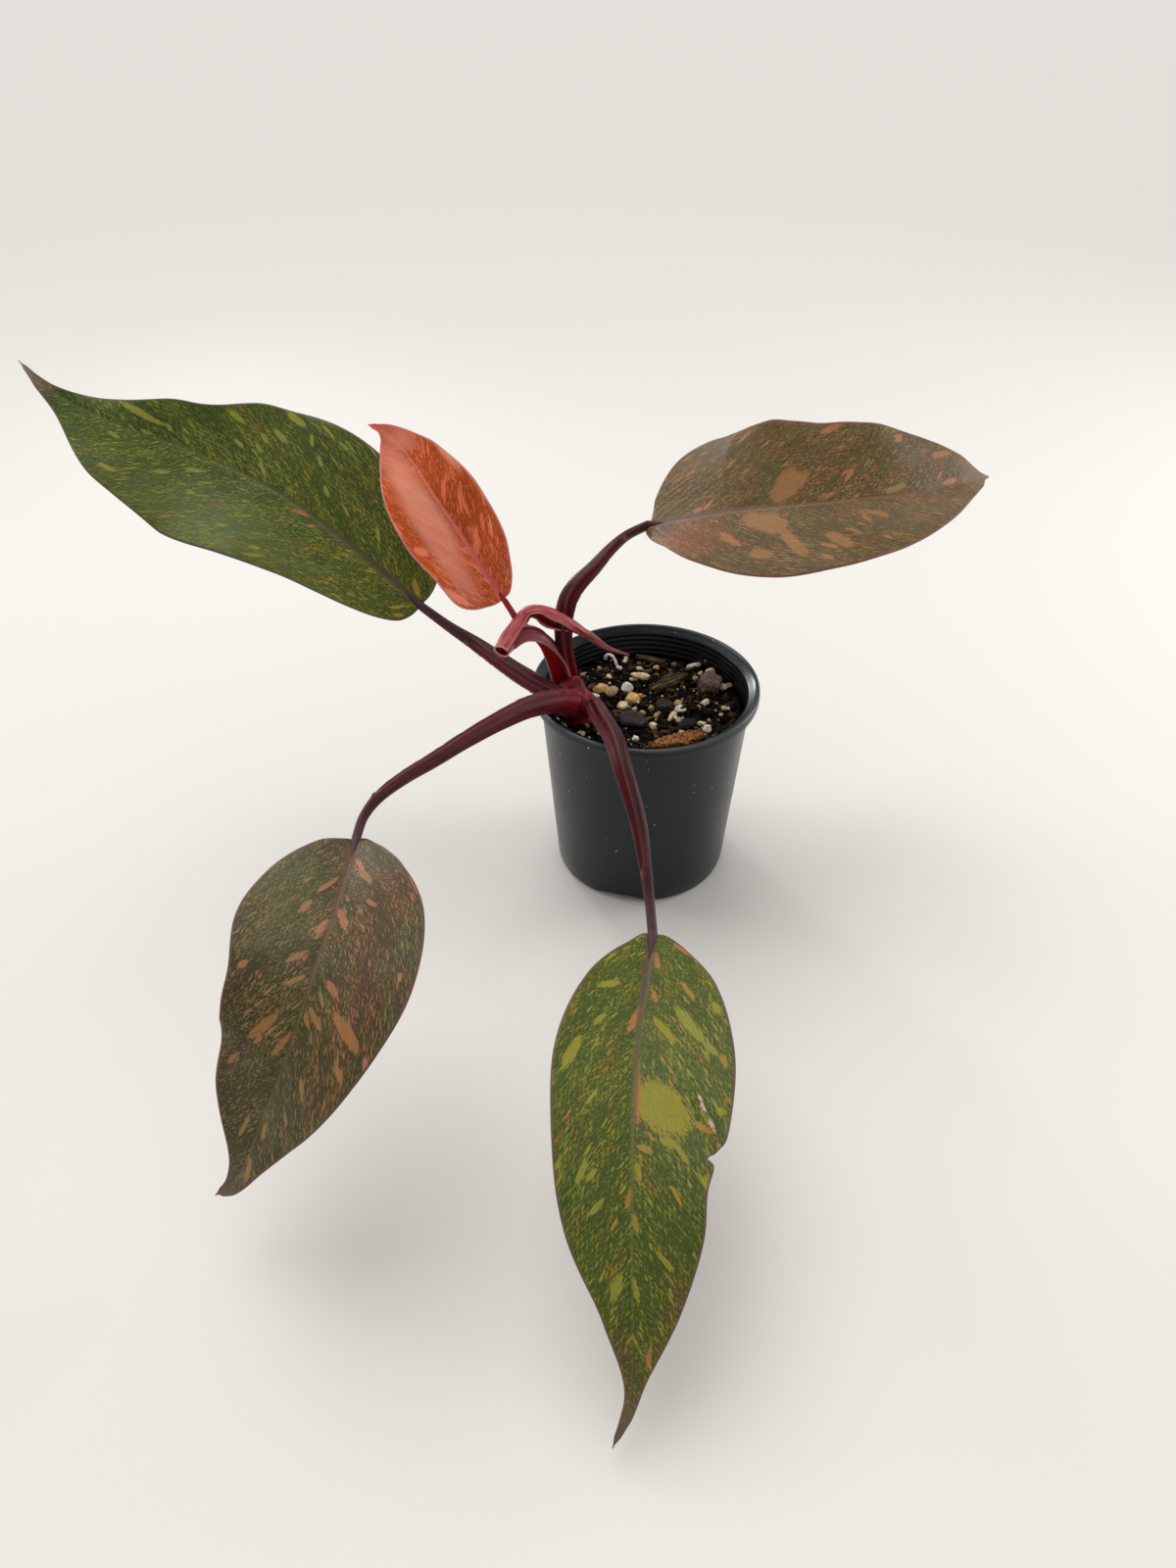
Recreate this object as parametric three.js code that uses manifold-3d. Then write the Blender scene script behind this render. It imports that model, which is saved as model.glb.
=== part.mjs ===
// Potted orange princess philodendron: a young plant with five leaves in a round 10 cm
// nursery pot. Millimetres, +Z up. The origin is the middle of the pot's flat underside.
// The front is -Y: one leaf hangs over the front rim, one over the front left, one reaches
// far to the left, one to the right, and the small new leaf stands between.
import * as THREE from "three";
import { mergeVertices } from "three/addons/utils/BufferGeometryUtils.js";
import Module from "manifold-3d";

const wasm = await Module();
wasm.setup();

// Pot
const POT_HEIGHT = 96;
const RIM_RADIUS = 50;
const RIM_BAND = 4.8;
const RIM_RING = 2.2;
const BODY_TOP_RADIUS = 46.4;
const BASE_RADIUS = 39.6;
const WALL = 1.2;
const FLOOR = 2.4;
const INNER_RIBS = 5;
const DRAIN_ANGLES = [-16, 74, 164, 254];
const DRAIN_WIDTH = 25;
const DRAIN_HEIGHT = 4;

// Potting mix
const SOIL_LEVEL = 82;
const SOIL_GAP = 0.3;

// Plant
const BLADE_THICKNESS = 0.8;
const BLADE_ROWS = 24;
const BLADE_COLUMNS = 10;
const TOUCH_GAP = 0.3;

const v3 = (p) => new THREE.Vector3(p[0], p[1], p[2]);
const degrees = (a) => (a * Math.PI) / 180;

// Smooth curve value through evenly spaced points or numbers, t from 0 to 1.
function spline(values, t, at) {
  const n = values.length - 1;
  const x = Math.min(Math.max(t, 0), 1) * n;
  const i = Math.min(Math.floor(x), n - 1);
  const f = x - i;
  const p1 = at(values[i]);
  const p2 = at(values[i + 1]);
  const p0 = i > 0 ? at(values[i - 1]) : 2 * p1 - p2;
  const p3 = i + 2 <= n ? at(values[i + 2]) : 2 * p2 - p1;
  const m1 = (p2 - p0) / 2;
  const m2 = (p3 - p1) / 2;
  const f2 = f * f;
  const f3 = f2 * f;
  const ends = p1 * (2 * f3 - 3 * f2 + 1) + p2 * (3 * f2 - 2 * f3);
  return ends + m1 * (f3 - 2 * f2 + f) + m2 * (f3 - f2);
}

const numberAt = (values, t) => spline(values, t, (p) => p);
const pointAt = (points, t) =>
  new THREE.Vector3(...[0, 1, 2].map((axis) => spline(points, t, (p) => p[axis])));

// Direction of a path, and the side and face directions square to it. The face direction
// leans from one given direction at the start to another at the end.
function frameAt(points, t, faceStart, faceEnd, lastDirection) {
  const before = pointAt(points, Math.max(t - 0.01, 0));
  const after = pointAt(points, Math.min(t + 0.01, 1));
  const along = after.sub(before).normalize();
  if (lastDirection && t > 0.999) along.copy(lastDirection);
  const face = v3(faceStart).lerp(v3(faceEnd), t);
  face.addScaledVector(along, -face.dot(along)).normalize();
  const side = new THREE.Vector3().crossVectors(along, face);
  return { along, face, side };
}

// A closed body of two matching faces over the same grid, joined round the edge.
function slab(rows, columns, upper, lower) {
  const corners = [];
  const index = [];
  const width = columns + 1;
  const count = (rows + 1) * width;
  for (const face of [upper, lower]) {
    for (let i = 0; i <= rows; i++) {
      for (let j = 0; j <= columns; j++) {
        corners.push(...face(i / rows, (2 * j) / columns - 1).toArray());
      }
    }
  }
  const quad = (a, b, c, d) => index.push(a, b, c, a, c, d);
  for (let i = 0; i < rows; i++) {
    for (let j = 0; j < columns; j++) {
      const a = i * width + j;
      quad(a, a + 1, a + width + 1, a + width);
      const b = a + count;
      index.push(b, b + width + 1, b + 1, b, b + width, b + width + 1);
    }
    const near = i * width;
    const far = near + columns;
    quad(near, near + width, near + width + count, near + count);
    quad(far, far + count, far + width + count, far + width);
  }
  for (let j = 0; j < columns; j++) {
    quad(j, j + count, j + 1 + count, j + 1);
    const k = rows * width + j;
    quad(k, k + 1, k + 1 + count, k + count);
  }
  return closed(corners, index);
}

// Geometry from plain lists of corner coordinates and triangle corners.
function closed(corners, index) {
  const g = new THREE.BufferGeometry();
  g.setAttribute("position", new THREE.BufferAttribute(new Float32Array(corners), 3));
  g.setIndex(index);
  return g;
}

// A solid of a closed geometry, with its faces turned outwards.
function solid(geometry) {
  const bare = geometry.clone();
  bare.deleteAttribute("normal");
  bare.deleteAttribute("uv");
  const merged = mergeVertices(bare, 1e-3);
  const order = [];
  for (let i = 0; i < merged.index.count; i += 3) {
    const [a, b, c] = [0, 1, 2].map((k) => merged.index.getX(i + k));
    if (a !== b && b !== c && c !== a) order.push(a, b, c);
  }
  const make = (list) =>
    new wasm.Manifold(
      new wasm.Mesh({
        numProp: 3,
        vertProperties: merged.attributes.position.array,
        triVerts: new Uint32Array(list),
      }),
    );
  const made = make(order);
  if (made.volume() > 0) return made;
  return make(order.reverse());
}

// The largest of a solid's separate bodies, without the scraps that a cut leaves.
function largest(body) {
  return body.decompose().sort((a, b) => b.volume() - a.volume())[0];
}

function geometryOf(body) {
  const mesh = body.getMesh();
  const g = new THREE.BufferGeometry();
  g.setAttribute("position", new THREE.BufferAttribute(mesh.vertProperties, 3));
  g.setIndex(new THREE.BufferAttribute(mesh.triVerts, 1));
  g.computeVertexNormals();
  return g;
}

// The same solid a little larger all round, for cutting a clearance.
function grown(body, gap = TOUCH_GAP) {
  let sum = body;
  for (const axis of [0, 1, 2]) {
    for (const way of [-gap, gap]) {
      const move = [0, 0, 0];
      move[axis] = way;
      sum = sum.add(body.translate(move));
    }
  }
  return sum;
}

const part = new THREE.Group();

function addPiece(name, body, colour, roughness) {
  const material = new THREE.MeshStandardMaterial({ color: colour, roughness, metalness: 0 });
  const mesh = new THREE.Mesh(geometryOf(body), material);
  mesh.name = name;
  part.add(mesh);
}

// Seeded draws, so that the grains fall the same way every time.
let seed = 20231;
function draw(low, high) {
  seed = (seed * 16807) % 2147483647;
  return low + ((high - low) * seed) / 2147483647;
}

// Pot: a moulded tapered tub with a turned-out rim band, fine ribs inside the mouth and four
// drain slots at the bottom edge.
const bandBottom = POT_HEIGHT - RIM_BAND;
const taper = (BODY_TOP_RADIUS - BASE_RADIUS) / (bandBottom - FLOOR);
const bodyRadius = (z) => BASE_RADIUS + taper * (z - FLOOR);
const profile = [
  [0, 0],
  [BASE_RADIUS - 2.4, 0],
  [BASE_RADIUS - 0.9, 0.6],
  [BASE_RADIUS, FLOOR],
  [bodyRadius(30), 30],
  [bodyRadius(60), 60],
  [bodyRadius(bandBottom), bandBottom],
  [RIM_RADIUS - 0.6, bandBottom],
  [RIM_RADIUS, bandBottom + 0.7],
  [RIM_RADIUS, POT_HEIGHT - 0.7],
  [RIM_RADIUS - 0.6, POT_HEIGHT],
  [RIM_RADIUS - RIM_RING, POT_HEIGHT],
  [RIM_RADIUS - RIM_RING - 0.5, POT_HEIGHT - 0.6],
];
for (let i = 0; i < INNER_RIBS; i++) {
  const z = POT_HEIGHT - 3.2 - 2.5 * i;
  const inner = Math.min(bodyRadius(z) - WALL, RIM_RADIUS - RIM_RING - 0.7);
  profile.push([inner, z + 0.7]);
  profile.push([inner - 0.4, z]);
  profile.push([inner, z - 0.7]);
}
profile.push([bodyRadius(SOIL_LEVEL - 6) - WALL, SOIL_LEVEL - 6]);
profile.push([BASE_RADIUS - WALL, FLOOR + 1]);
profile.push([BASE_RADIUS - WALL - 1, FLOOR]);
profile.push([0, FLOOR]);
const potTurned = new THREE.LatheGeometry(
  profile.map(([r, z]) => new THREE.Vector2(r, z)),
  48,
);
potTurned.rotateX(Math.PI / 2);
let pot = solid(potTurned);
for (const angle of DRAIN_ANGLES) {
  const slot = new THREE.CylinderGeometry(1, 1, 9, 20);
  slot.scale(DRAIN_WIDTH / 2, 1, DRAIN_HEIGHT);
  slot.translate(0, -(BASE_RADIUS - 1), 0);
  slot.rotateZ(degrees(angle));
  pot = pot.subtract(solid(slot));
}
addPiece("pot", pot, "#2b2f31", 0.45);

// Leaf blades. mid: midrib points from the base to the tip. left and right: half widths at
// eleven stations that crowd towards both ends, seen from the upper face with the tip ahead.
// faceStart and faceEnd: where the upper face looks. fold: rise of the halves, in degrees.
// wave: [height, waves, phase left, phase right]. lobe: how far the base rounds back.
const LEAVES = {
  front: {
    mid: [
      [-1, -120, 62], [-8, -170, 66], [-11, -207, 63], [-12, -235, 53],
      [-12, -256, 38], [-13, -271, 21], [-18, -280, 8],
    ],
    left: [2, 11, 26, 33, 30.5, 23.5, 14.5, 4.5, 2, 1, 0.5],
    right: [2, 8.5, 21.5, 28, 26.5, 21.5, 10, 2.5, 1.2, 0.8, 0.5],
    faceStart: [0, -0.15, 1],
    faceEnd: [0, -0.75, 0.65],
    fold: [12, 8],
    wave: [1.2, 2.5, 0.1, 0.55],
    lobe: 2,
    colour: "#5b6a2c",
  },
  low_left: {
    mid: [
      [-110, -109, 100], [-110, -150, 105], [-114, -177, 100], [-120, -194, 86],
      [-130, -202, 64], [-140, -208, 42], [-151, -208, 28],
    ],
    left: [2, 8.5, 21.5, 34, 37, 28, 17.5, 7.5, 4, 1.5, 0.5],
    right: [2.5, 15.5, 27.5, 31.5, 27.5, 26.5, 22, 9, 2.5, 1, 0.5],
    faceStart: [-0.05, -0.15, 1],
    faceEnd: [-0.35, -0.6, 0.7],
    fold: [12, 6],
    wave: [1.4, 2, 0.3, 0.7],
    lobe: 2,
    colour: "#5d5430",
  },
  far_left: {
    mid: [
      [-97, 11, 128], [-126, 24, 149], [-157, 38, 167], [-191, 47, 181],
      [-223, 49, 193], [-249, 56, 204], [-264, 65, 214],
    ],
    left: [2.5, 13.5, 22, 28.5, 37.5, 39.5, 27, 8, 2.5, 1, 0.5],
    right: [3, 15, 27, 37.5, 37, 23, 12.5, 4, 1.5, 0.8, 0.5],
    faceStart: [-0.1, -0.5, 0.85],
    faceEnd: [0.1, -0.75, 0.65],
    fold: [10, 6],
    wave: [2.4, 3, 0.2, 0.6],
    lobe: 2,
    colour: "#4f6a2a",
  },
  right: {
    mid: [
      [2, 43, 150], [29, 25, 164], [55, 17, 171],
      [84, 21, 172], [115, 33, 170], [152, 61, 164],
    ],
    left: [3, 29, 39, 39, 39, 38, 34.5, 30, 21.5, 9, 1.5],
    right: [3, 9, 18.5, 31.5, 39, 38, 31, 20.5, 10, 3.5, 1],
    faceStart: [0.05, -0.45, 0.9],
    faceEnd: [0.1, -0.45, 0.9],
    fold: [10, 14],
    wave: [1.6, 2.5, 0.4, 0.9],
    lobe: 2,
    colour: "#6b5538",
  },
  new: {
    mid: [
      [-60, -7, 142], [-69, -6, 157], [-78, 0, 170], [-87, 6, 182],
      [-96, 16, 192], [-105, 24, 199], [-113, 24, 203],
    ],
    left: [1.5, 8, 17.5, 19.5, 22, 20.5, 15, 7.5, 2, 1, 0.5],
    right: [1.5, 5.5, 10.5, 15, 16.5, 16.5, 12, 5.5, 2, 1, 0.5],
    faceStart: [0.25, -0.85, 0.5],
    faceEnd: [0.15, -0.8, 0.6],
    fold: [14, 8],
    wave: [0.6, 2, 0.2, 0.6],
    lobe: 1.5,
    colour: "#c25a2c",
  },
};

const endwards = (s) => (1 - Math.cos(Math.PI * s)) / 2;

function bladePoint(leaf, s, u, rise) {
  const t = endwards(s);
  const { along, face, side } = frameAt(leaf.mid, t, leaf.faceStart, leaf.faceEnd);
  const out = Math.abs(u);
  const half = Math.max(0.4, numberAt(u > 0 ? leaf.right : leaf.left, s)) * out;
  const lift = degrees(leaf.fold[0] * (1 - t) + leaf.fold[1] * t);
  const [height, waves, phaseLeft, phaseRight] = leaf.wave;
  const phase = u > 0 ? phaseRight : phaseLeft;
  const rippleSize = height * Math.sin(Math.PI * t) * out * out;
  const ripple = rippleSize * Math.sin(2 * Math.PI * (waves * t + phase));
  const back = leaf.lobe * out * out * Math.min(1, (half / 12) ** 2) * Math.max(0, 1 - t / 0.1);
  return pointAt(leaf.mid, t)
    .addScaledVector(side, Math.sign(u) * half * Math.cos(lift))
    .addScaledVector(face, half * Math.sin(lift) + ripple + rise)
    .addScaledVector(along, -back);
}

for (const [name, leaf] of Object.entries(LEAVES)) {
  const half = BLADE_THICKNESS / 2;
  const blade = slab(
    BLADE_ROWS,
    BLADE_COLUMNS,
    (s, u) => bladePoint(leaf, s, u, half),
    (s, u) => bladePoint(leaf, s, u, -half),
  );
  addPiece("leaf_" + name, solid(blade), leaf.colour, 0.6);
}

// Crown: the short stem in the mix with the swollen red bases of the leaf stalks.
function ball(x, y, z, rx, ry, rz) {
  const g = new THREE.SphereGeometry(1, 12, 8);
  g.scale(rx, ry, rz);
  g.translate(x, y, z);
  return solid(g);
}

const crown = ball(-30.5, -9, 92, 7, 7.5, 9)
  .add(ball(-27, -14.5, 93, 6, 5.5, 6))
  .add(ball(-29, -8, 80, 6, 6, 9));

// Leaf stalks: path points, radius from the crown to the blade, the side that carries the
// groove of the leaf sheath, and the share of the length that the sheath takes.
const STALKS = {
  front: {
    path: [[-23.5, -16.5, 97], [-20, -37, 103.5], [-15, -53.5, 105], [-12, -67, 102.5], [-8.5, -77, 95],
      [-5.5, -86, 87], [-3.5, -97, 78], [-2, -106.5, 69], [-1, -119, 62.4]],
    radii: [4, 4.4, 4.3, 4.1, 3.7, 3.3, 2.6, 2.1, 2],
    groove: [[-0.7, -0.2, 0.7], [-0.75, -0.45, 0.5]],
    sheath: 0.74,
    colour: "#55252e",
  },
  low_left: {
    path: [[-29.5, -18, 98], [-38, -25, 103], [-49.5, -35.5, 107], [-61, -49.5, 110], [-72.5, -63, 111.5],
      [-83.5, -76, 112], [-94.5, -86.5, 111], [-103, -94, 108], [-108, -100.5, 104], [-110, -108, 100.3]],
    radii: [4.2, 4.1, 3.9, 3.5, 3.1, 2.9, 2.6, 2.3, 1.9, 1.8],
    groove: [[-0.1, 0.6, 0.8], [-0.2, 0.5, 0.8]],
    sheath: 0.78,
    colour: "#55252e",
  },
  right: {
    path: [[-32.5, -1.5, 98], [-35, -0.5, 109], [-36, 0, 120], [-35.5, 1, 129.5], [-33.5, 2, 137],
      [-29.5, 5, 142], [-23, 12, 145.5], [-16, 23.5, 148], [-8.5, 33, 150], [1.2, 43, 150]],
    radii: [3.6, 3.7, 3.8, 3.9, 3.9, 3.7, 3.2, 2.7, 2.3, 2.1],
    groove: [[0.6, -0.7, 0.2], [0.4, -0.8, 0.5]],
    sheath: 0.85,
    colour: "#55252e",
  },
  new: {
    path: [[-35, -5, 96], [-36.5, -6, 102], [-38.5, -5.5, 109], [-42, -6, 116], [-46.5, -6, 121],
      [-51, -7, 126], [-53.8, -9.5, 131.5], [-56.3, -10.3, 137], [-59.4, -7.7, 141.1]],
    radii: [2.6, 3.1, 3.6, 4.2, 4.6, 4.2, 1.8, 1.4, 1.3],
    groove: [[-0.55, -0.65, -0.5], [0.3, -0.7, 0.6]],
    sheath: 0.6,
    colour: "#8f1d33",
  },
  far_left: {
    path: [[-34.5, -12, 95], [-44, -12.5, 101], [-53.5, -8.5, 105], [-64, -2, 109], [-74.5, 5, 113],
      [-85, 7.5, 119.5], [-96.2, 10.2, 127.6]],
    radii: [4.3, 4.5, 4.4, 3.9, 3.2, 2.4, 2],
    groove: [[0, -0.7, 0.2], [0, -0.6, 0.6]],
    sheath: 0.7,
    colour: "#4a2430",
  },
};

const STALK_SIDES = 12;
const STALK_STEPS = 22;

function stalkSolid(stalk, leaf) {
  const corners = [];
  const index = [];
  const first = frameAt(leaf.mid, 0, leaf.faceStart, leaf.faceEnd).along;
  for (let i = 0; i <= STALK_STEPS; i++) {
    const t = i / STALK_STEPS;
    const { face, side } = frameAt(stalk.path, t, stalk.groove[0], stalk.groove[1], first);
    const centre = pointAt(stalk.path, t);
    if (i === STALK_STEPS) centre.copy(v3(leaf.mid[0])).addScaledVector(first, -1.5 * TOUCH_GAP);
    const radius = numberAt(stalk.radii, t);
    const depth = 0.42 * Math.max(0, Math.min(1, (stalk.sheath - t) / 0.12));
    for (let k = 0; k < STALK_SIDES; k++) {
      const turn = (2 * Math.PI * k) / STALK_SIDES;
      const nearGroove = k === 0 ? 1 : 0;
      const reach = radius * (1 - depth * nearGroove);
      const p = centre.clone().addScaledVector(face, reach * Math.cos(turn));
      corners.push(...p.addScaledVector(side, reach * Math.sin(turn)).toArray());
    }
  }
  const ring = (i, k) => i * STALK_SIDES + (k % STALK_SIDES);
  for (let i = 0; i < STALK_STEPS; i++) {
    for (let k = 0; k < STALK_SIDES; k++) {
      index.push(ring(i, k), ring(i, k + 1), ring(i + 1, k + 1));
      index.push(ring(i, k), ring(i + 1, k + 1), ring(i + 1, k));
    }
  }
  for (const i of [0, STALK_STEPS]) {
    const middle = corners.length / 3;
    const sum = new THREE.Vector3();
    for (let k = 0; k < STALK_SIDES; k++) sum.add(new THREE.Vector3().fromArray(corners, 3 * ring(i, k)));
    corners.push(...sum.divideScalar(STALK_SIDES).toArray());
    for (let k = 0; k < STALK_SIDES; k++) {
      if (i === 0) index.push(middle, ring(i, k + 1), ring(i, k));
      else index.push(middle, ring(i, k), ring(i, k + 1));
    }
  }
  return solid(closed(corners, index));
}

let taken = grown(crown);
for (const [name, stalk] of Object.entries(STALKS)) {
  const whole = stalkSolid(stalk, LEAVES[name]);
  addPiece("stalk_" + name, largest(whole.subtract(taken)), stalk.colour, 0.45);
  taken = taken.add(grown(whole));
}

// Withered leaf sheath: the dry, curled wrapper that the new leaf came out of. It hangs over
// the new leaf's stalk in front of the others, hollow side down.
const WRAPPER = {
  mid: [[-60.5, -24, 127.5], [-54.5, -14.5, 133.5], [-49, -10, 137.5], [-42.5, -9.5, 136], [-36, -8, 130.5],
    [-30, -5, 126.5], [-24.5, 0, 119.5], [-19.5, 6.5, 110.5], [-13.5, 16, 101.5], [-7, 26.5, 92.5]],
  radius: [3.1, 2.8, 2.1, 3, 3.6, 2.6, 1.8, 1.4, 1.1, 0.7],
  curl: [2.7, 2.5, 2, 1.8, 1.8, 1.8, 1.7, 1.6, 1.5, 1.4],
  faceStart: [0.3, -0.2, -1],
  faceEnd: [-0.3, -0.6, -0.7],
};

function wrapperPoint(t, u, rise) {
  const { face, side } = frameAt(WRAPPER.mid, t, WRAPPER.faceStart, WRAPPER.faceEnd);
  const turn = numberAt(WRAPPER.curl, t) * u;
  const reach = numberAt(WRAPPER.radius, t) + rise;
  return pointAt(WRAPPER.mid, t)
    .addScaledVector(side, reach * Math.sin(turn))
    .addScaledVector(face, -reach * Math.cos(turn));
}

const wrapper = slab(
  20,
  8,
  (s, u) => wrapperPoint(s, u, 0.35),
  (s, u) => wrapperPoint(s, u, -0.35),
);
addPiece("old_leaf_sheath", largest(solid(wrapper).subtract(taken)), "#b5565a", 0.75);

// Loose pieces on the mix: flat chips of bark and wood and two stones, each a bevelled
// plate with an uneven outline, half sunk in the surface.
// size: length, width, thickness. turn and tilt in degrees.
const CHIPS = {
  wood_chip: {
    at: [4, 37.5, 83.4], size: [19, 4.2, 2.4], turn: -24,
    tilt: [0, 0], sides: 6, colour: "#4a3822",
  },
  fibre_chip: {
    at: [11, 17.5, 83.8], size: [25, 9, 3], turn: 38,
    tilt: [4, 0], sides: 7, colour: "#3d3018",
  },
  mauve_stone: {
    at: [30.2, 16.8, 84], size: [12, 13, 7], turn: 10,
    tilt: [8, 5], sides: 7, colour: "#6d5450",
  },
  grey_stone: {
    at: [8.8, -1.2, 83.6], size: [10.5, 9, 4], turn: 20,
    tilt: [0, 8], sides: 6, colour: "#2c2a2c",
  },
  mauve_chip: {
    at: [-5.6, -12, 84.4], size: [15, 11, 2.2], turn: -12,
    tilt: [10, 4], sides: 6, colour: "#4a3d42",
  },
  bark_chip: {
    at: [12.6, -26.4, 84.6], size: [27, 9, 4], turn: 20,
    tilt: [14, 0], sides: 8, colour: "#8a5226",
  },
  dark_chip: {
    at: [18, -13.5, 83.2], size: [12, 6, 2.2], turn: 30,
    tilt: [6, 0], sides: 5, colour: "#1e1b19",
  },
};

function chipSolid({ at, size, turn, tilt, sides }) {
  const outline = new THREE.Shape();
  for (let k = 0; k < sides; k++) {
    const angle = (2 * Math.PI * (k + 0.3 * draw(-1, 1))) / sides;
    const reach = draw(0.84, 1);
    const x = (reach * Math.cos(angle) * size[0]) / 2;
    const y = (reach * Math.sin(angle) * size[1]) / 2;
    if (k === 0) outline.moveTo(x, y);
    else outline.lineTo(x, y);
  }
  const bevel = Math.min(0.6, size[2] / 4);
  const g = new THREE.ExtrudeGeometry(outline, {
    depth: size[2] - 2 * bevel,
    bevelEnabled: true,
    bevelThickness: bevel,
    bevelSize: bevel,
    bevelOffset: -bevel,
    bevelSegments: 1,
  });
  g.translate(0, 0, bevel - size[2] / 2);
  g.rotateX(degrees(tilt[0]));
  g.rotateY(degrees(tilt[1]));
  g.rotateZ(degrees(turn));
  g.translate(...at);
  return solid(g);
}

const chips = [];
for (const [name, chip] of Object.entries(CHIPS)) {
  const body = chipSolid(chip);
  chips.push(body);
  addPiece(name, body, chip.colour, 0.85);
}

// White root tip that bends out of the mix near the back wall.
const ROOT = [[-17.2, 36.8, 85.4], [-15.4, 37, 86.4], [-12.8, 34.6, 85.6], [-11.2, 31.6, 81.5]];
const rootCurve = new THREE.CatmullRomCurve3(ROOT.map(v3));
const rootSection = new THREE.Shape();
rootSection.absarc(0, 0, 0.8, 0, 2 * Math.PI);
const rootSweep = { extrudePath: rootCurve, steps: 8, curveSegments: 3, bevelEnabled: false };
const root = solid(new THREE.ExtrudeGeometry(rootSection, rootSweep));
addPiece("root_tip", root, "#c9c4b8", 0.6);

// Potting mix: an uneven plug that fills the pot to just under the ribs. Pebbles and grains
// are part of it: the larger ones lie where they are listed, the small ones are scattered.
function unevenness(x, y) {
  const swell = 0.5 * Math.sin(0.31 * x + 1.7) * Math.cos(0.27 * y);
  const lumps = 0.35 * Math.sin(0.7 * x - 0.5 * y);
  return swell + lumps + 0.25 * Math.cos(0.9 * y + 0.4 * x);
}
const soilProfile = [
  [BASE_RADIUS - WALL - SOIL_GAP - 1.2, FLOOR + SOIL_GAP],
  [BASE_RADIUS - WALL - SOIL_GAP, FLOOR + 1.4],
  [bodyRadius(SOIL_LEVEL - 6) - WALL - SOIL_GAP - 0.1, SOIL_LEVEL - 6],
  [bodyRadius(SOIL_LEVEL - 6) - WALL - SOIL_GAP - 0.2, SOIL_LEVEL - 0.6],
];
const SOIL_SIDES = 40;
const SOIL_RINGS = 8;
const soilCorners = [0, 0, FLOOR + SOIL_GAP];
const soilIndex = [];
for (const [r, z] of soilProfile) {
  for (let k = 0; k < SOIL_SIDES; k++) {
    const angle = (2 * Math.PI * k) / SOIL_SIDES;
    soilCorners.push(r * Math.cos(angle), r * Math.sin(angle), z);
  }
}
const soilEdge = soilProfile.at(-1)[0];
for (let i = 1; i < SOIL_RINGS; i++) {
  for (let k = 0; k < SOIL_SIDES; k++) {
    const angle = (2 * Math.PI * k) / SOIL_SIDES;
    const r = soilEdge * (1 - i / SOIL_RINGS);
    const [x, y] = [r * Math.cos(angle), r * Math.sin(angle)];
    soilCorners.push(x, y, SOIL_LEVEL + unevenness(x, y));
  }
}
const soilLast = soilCorners.length / 3;
soilCorners.push(0, 0, SOIL_LEVEL + unevenness(0, 0));
const soilRows = soilProfile.length + SOIL_RINGS - 1;
for (let k = 0; k < SOIL_SIDES; k++) {
  const next = (k + 1) % SOIL_SIDES;
  soilIndex.push(0, 1 + next, 1 + k);
  for (let i = 0; i < soilRows - 1; i++) {
    const [a, b] = [1 + i * SOIL_SIDES, 1 + (i + 1) * SOIL_SIDES];
    soilIndex.push(a + k, a + next, b + next, a + k, b + next, b + k);
  }
  const top = 1 + (soilRows - 1) * SOIL_SIDES;
  soilIndex.push(top + k, top + next, soilLast);
}
let soil = solid(closed(soilCorners, soilIndex));

// Pebbles: x, y, length, width, height, turn.
const PEBBLES = [
  [-19.6, 13.9, 7, 6, 5, 20], [-14.7, 11, 6.5, 5.5, 4.5, 70], [-7.5, 14.4, 5, 5, 4.5, 0],
  [-5.6, 6.1, 7.5, 6.5, 5, 35], [-1, 22.7, 8.5, 4, 3.6, -18], [-9.6, 2.2, 6, 4, 3, 60],
  [-23.6, 10, 8, 3, 2, -38], [3.2, -14.9, 4.2, 3.6, 3, 0], [27.1, 3.4, 4.6, 3.8, 3.2, 40],
  [15.5, -2.3, 5, 4, 3.4, 10], [14.5, 2.2, 3.6, 3, 3, 0], [11.8, -7.5, 5.4, 3, 3, 60],
  [24.1, 33.4, 6.5, 3, 2.8, 30], [38.3, 32.6, 6, 4.4, 3.6, 55], [26.1, -17.8, 4.4, 3.6, 3.2, -20],
  [24.4, -12, 4.6, 3, 2, 15], [36.4, 16.3, 3.2, 4.4, 3, 0], [41.4, 17.9, 3.6, 2.6, 2.4, 20],
  [-36.5, -16, 6.4, 4, 3, -40], [-28.8, -20.5, 4, 3.4, 2.6, 0],
];
const GRAINS = 22;
const GRAIN_REACH = 41;
const stones = [...PEBBLES];
for (let i = 0; i < GRAINS; i++) {
  const angle = draw(0, 2 * Math.PI);
  const r = GRAIN_REACH * Math.sqrt(draw(0, 1));
  const across = draw(1.6, 3.2);
  const width = across * draw(0.7, 1);
  stones.push([r * Math.cos(angle), r * Math.sin(angle), across, width, across * 0.8, draw(0, 180)]);
}
for (const [x, y, length, width, height, turn] of stones) {
  const g = new THREE.IcosahedronGeometry(1, 0);
  g.scale(length / 2, width / 2, height / 2);
  g.rotateZ(degrees(turn));
  g.translate(x, y, SOIL_LEVEL + unevenness(x, y) + 0.22 * height);
  soil = soil.add(solid(g));
}
for (const body of [crown, root, ...chips]) soil = soil.subtract(grown(body));
addPiece("crown", crown, "#8a1530", 0.45);
addPiece("potting_mix", largest(soil), "#241d17", 0.95);

export default part;
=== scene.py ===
# A young orange princess philodendron in a black 10 cm nursery pot. The script goes round
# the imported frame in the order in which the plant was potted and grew. Sizes are written in
# millimetres and turned to metres where a mesh is made; the front is -Y and up is +Z.
import math
import random

import bmesh
import bpy
from mathutils import Euler, Matrix, Vector, noise


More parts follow.
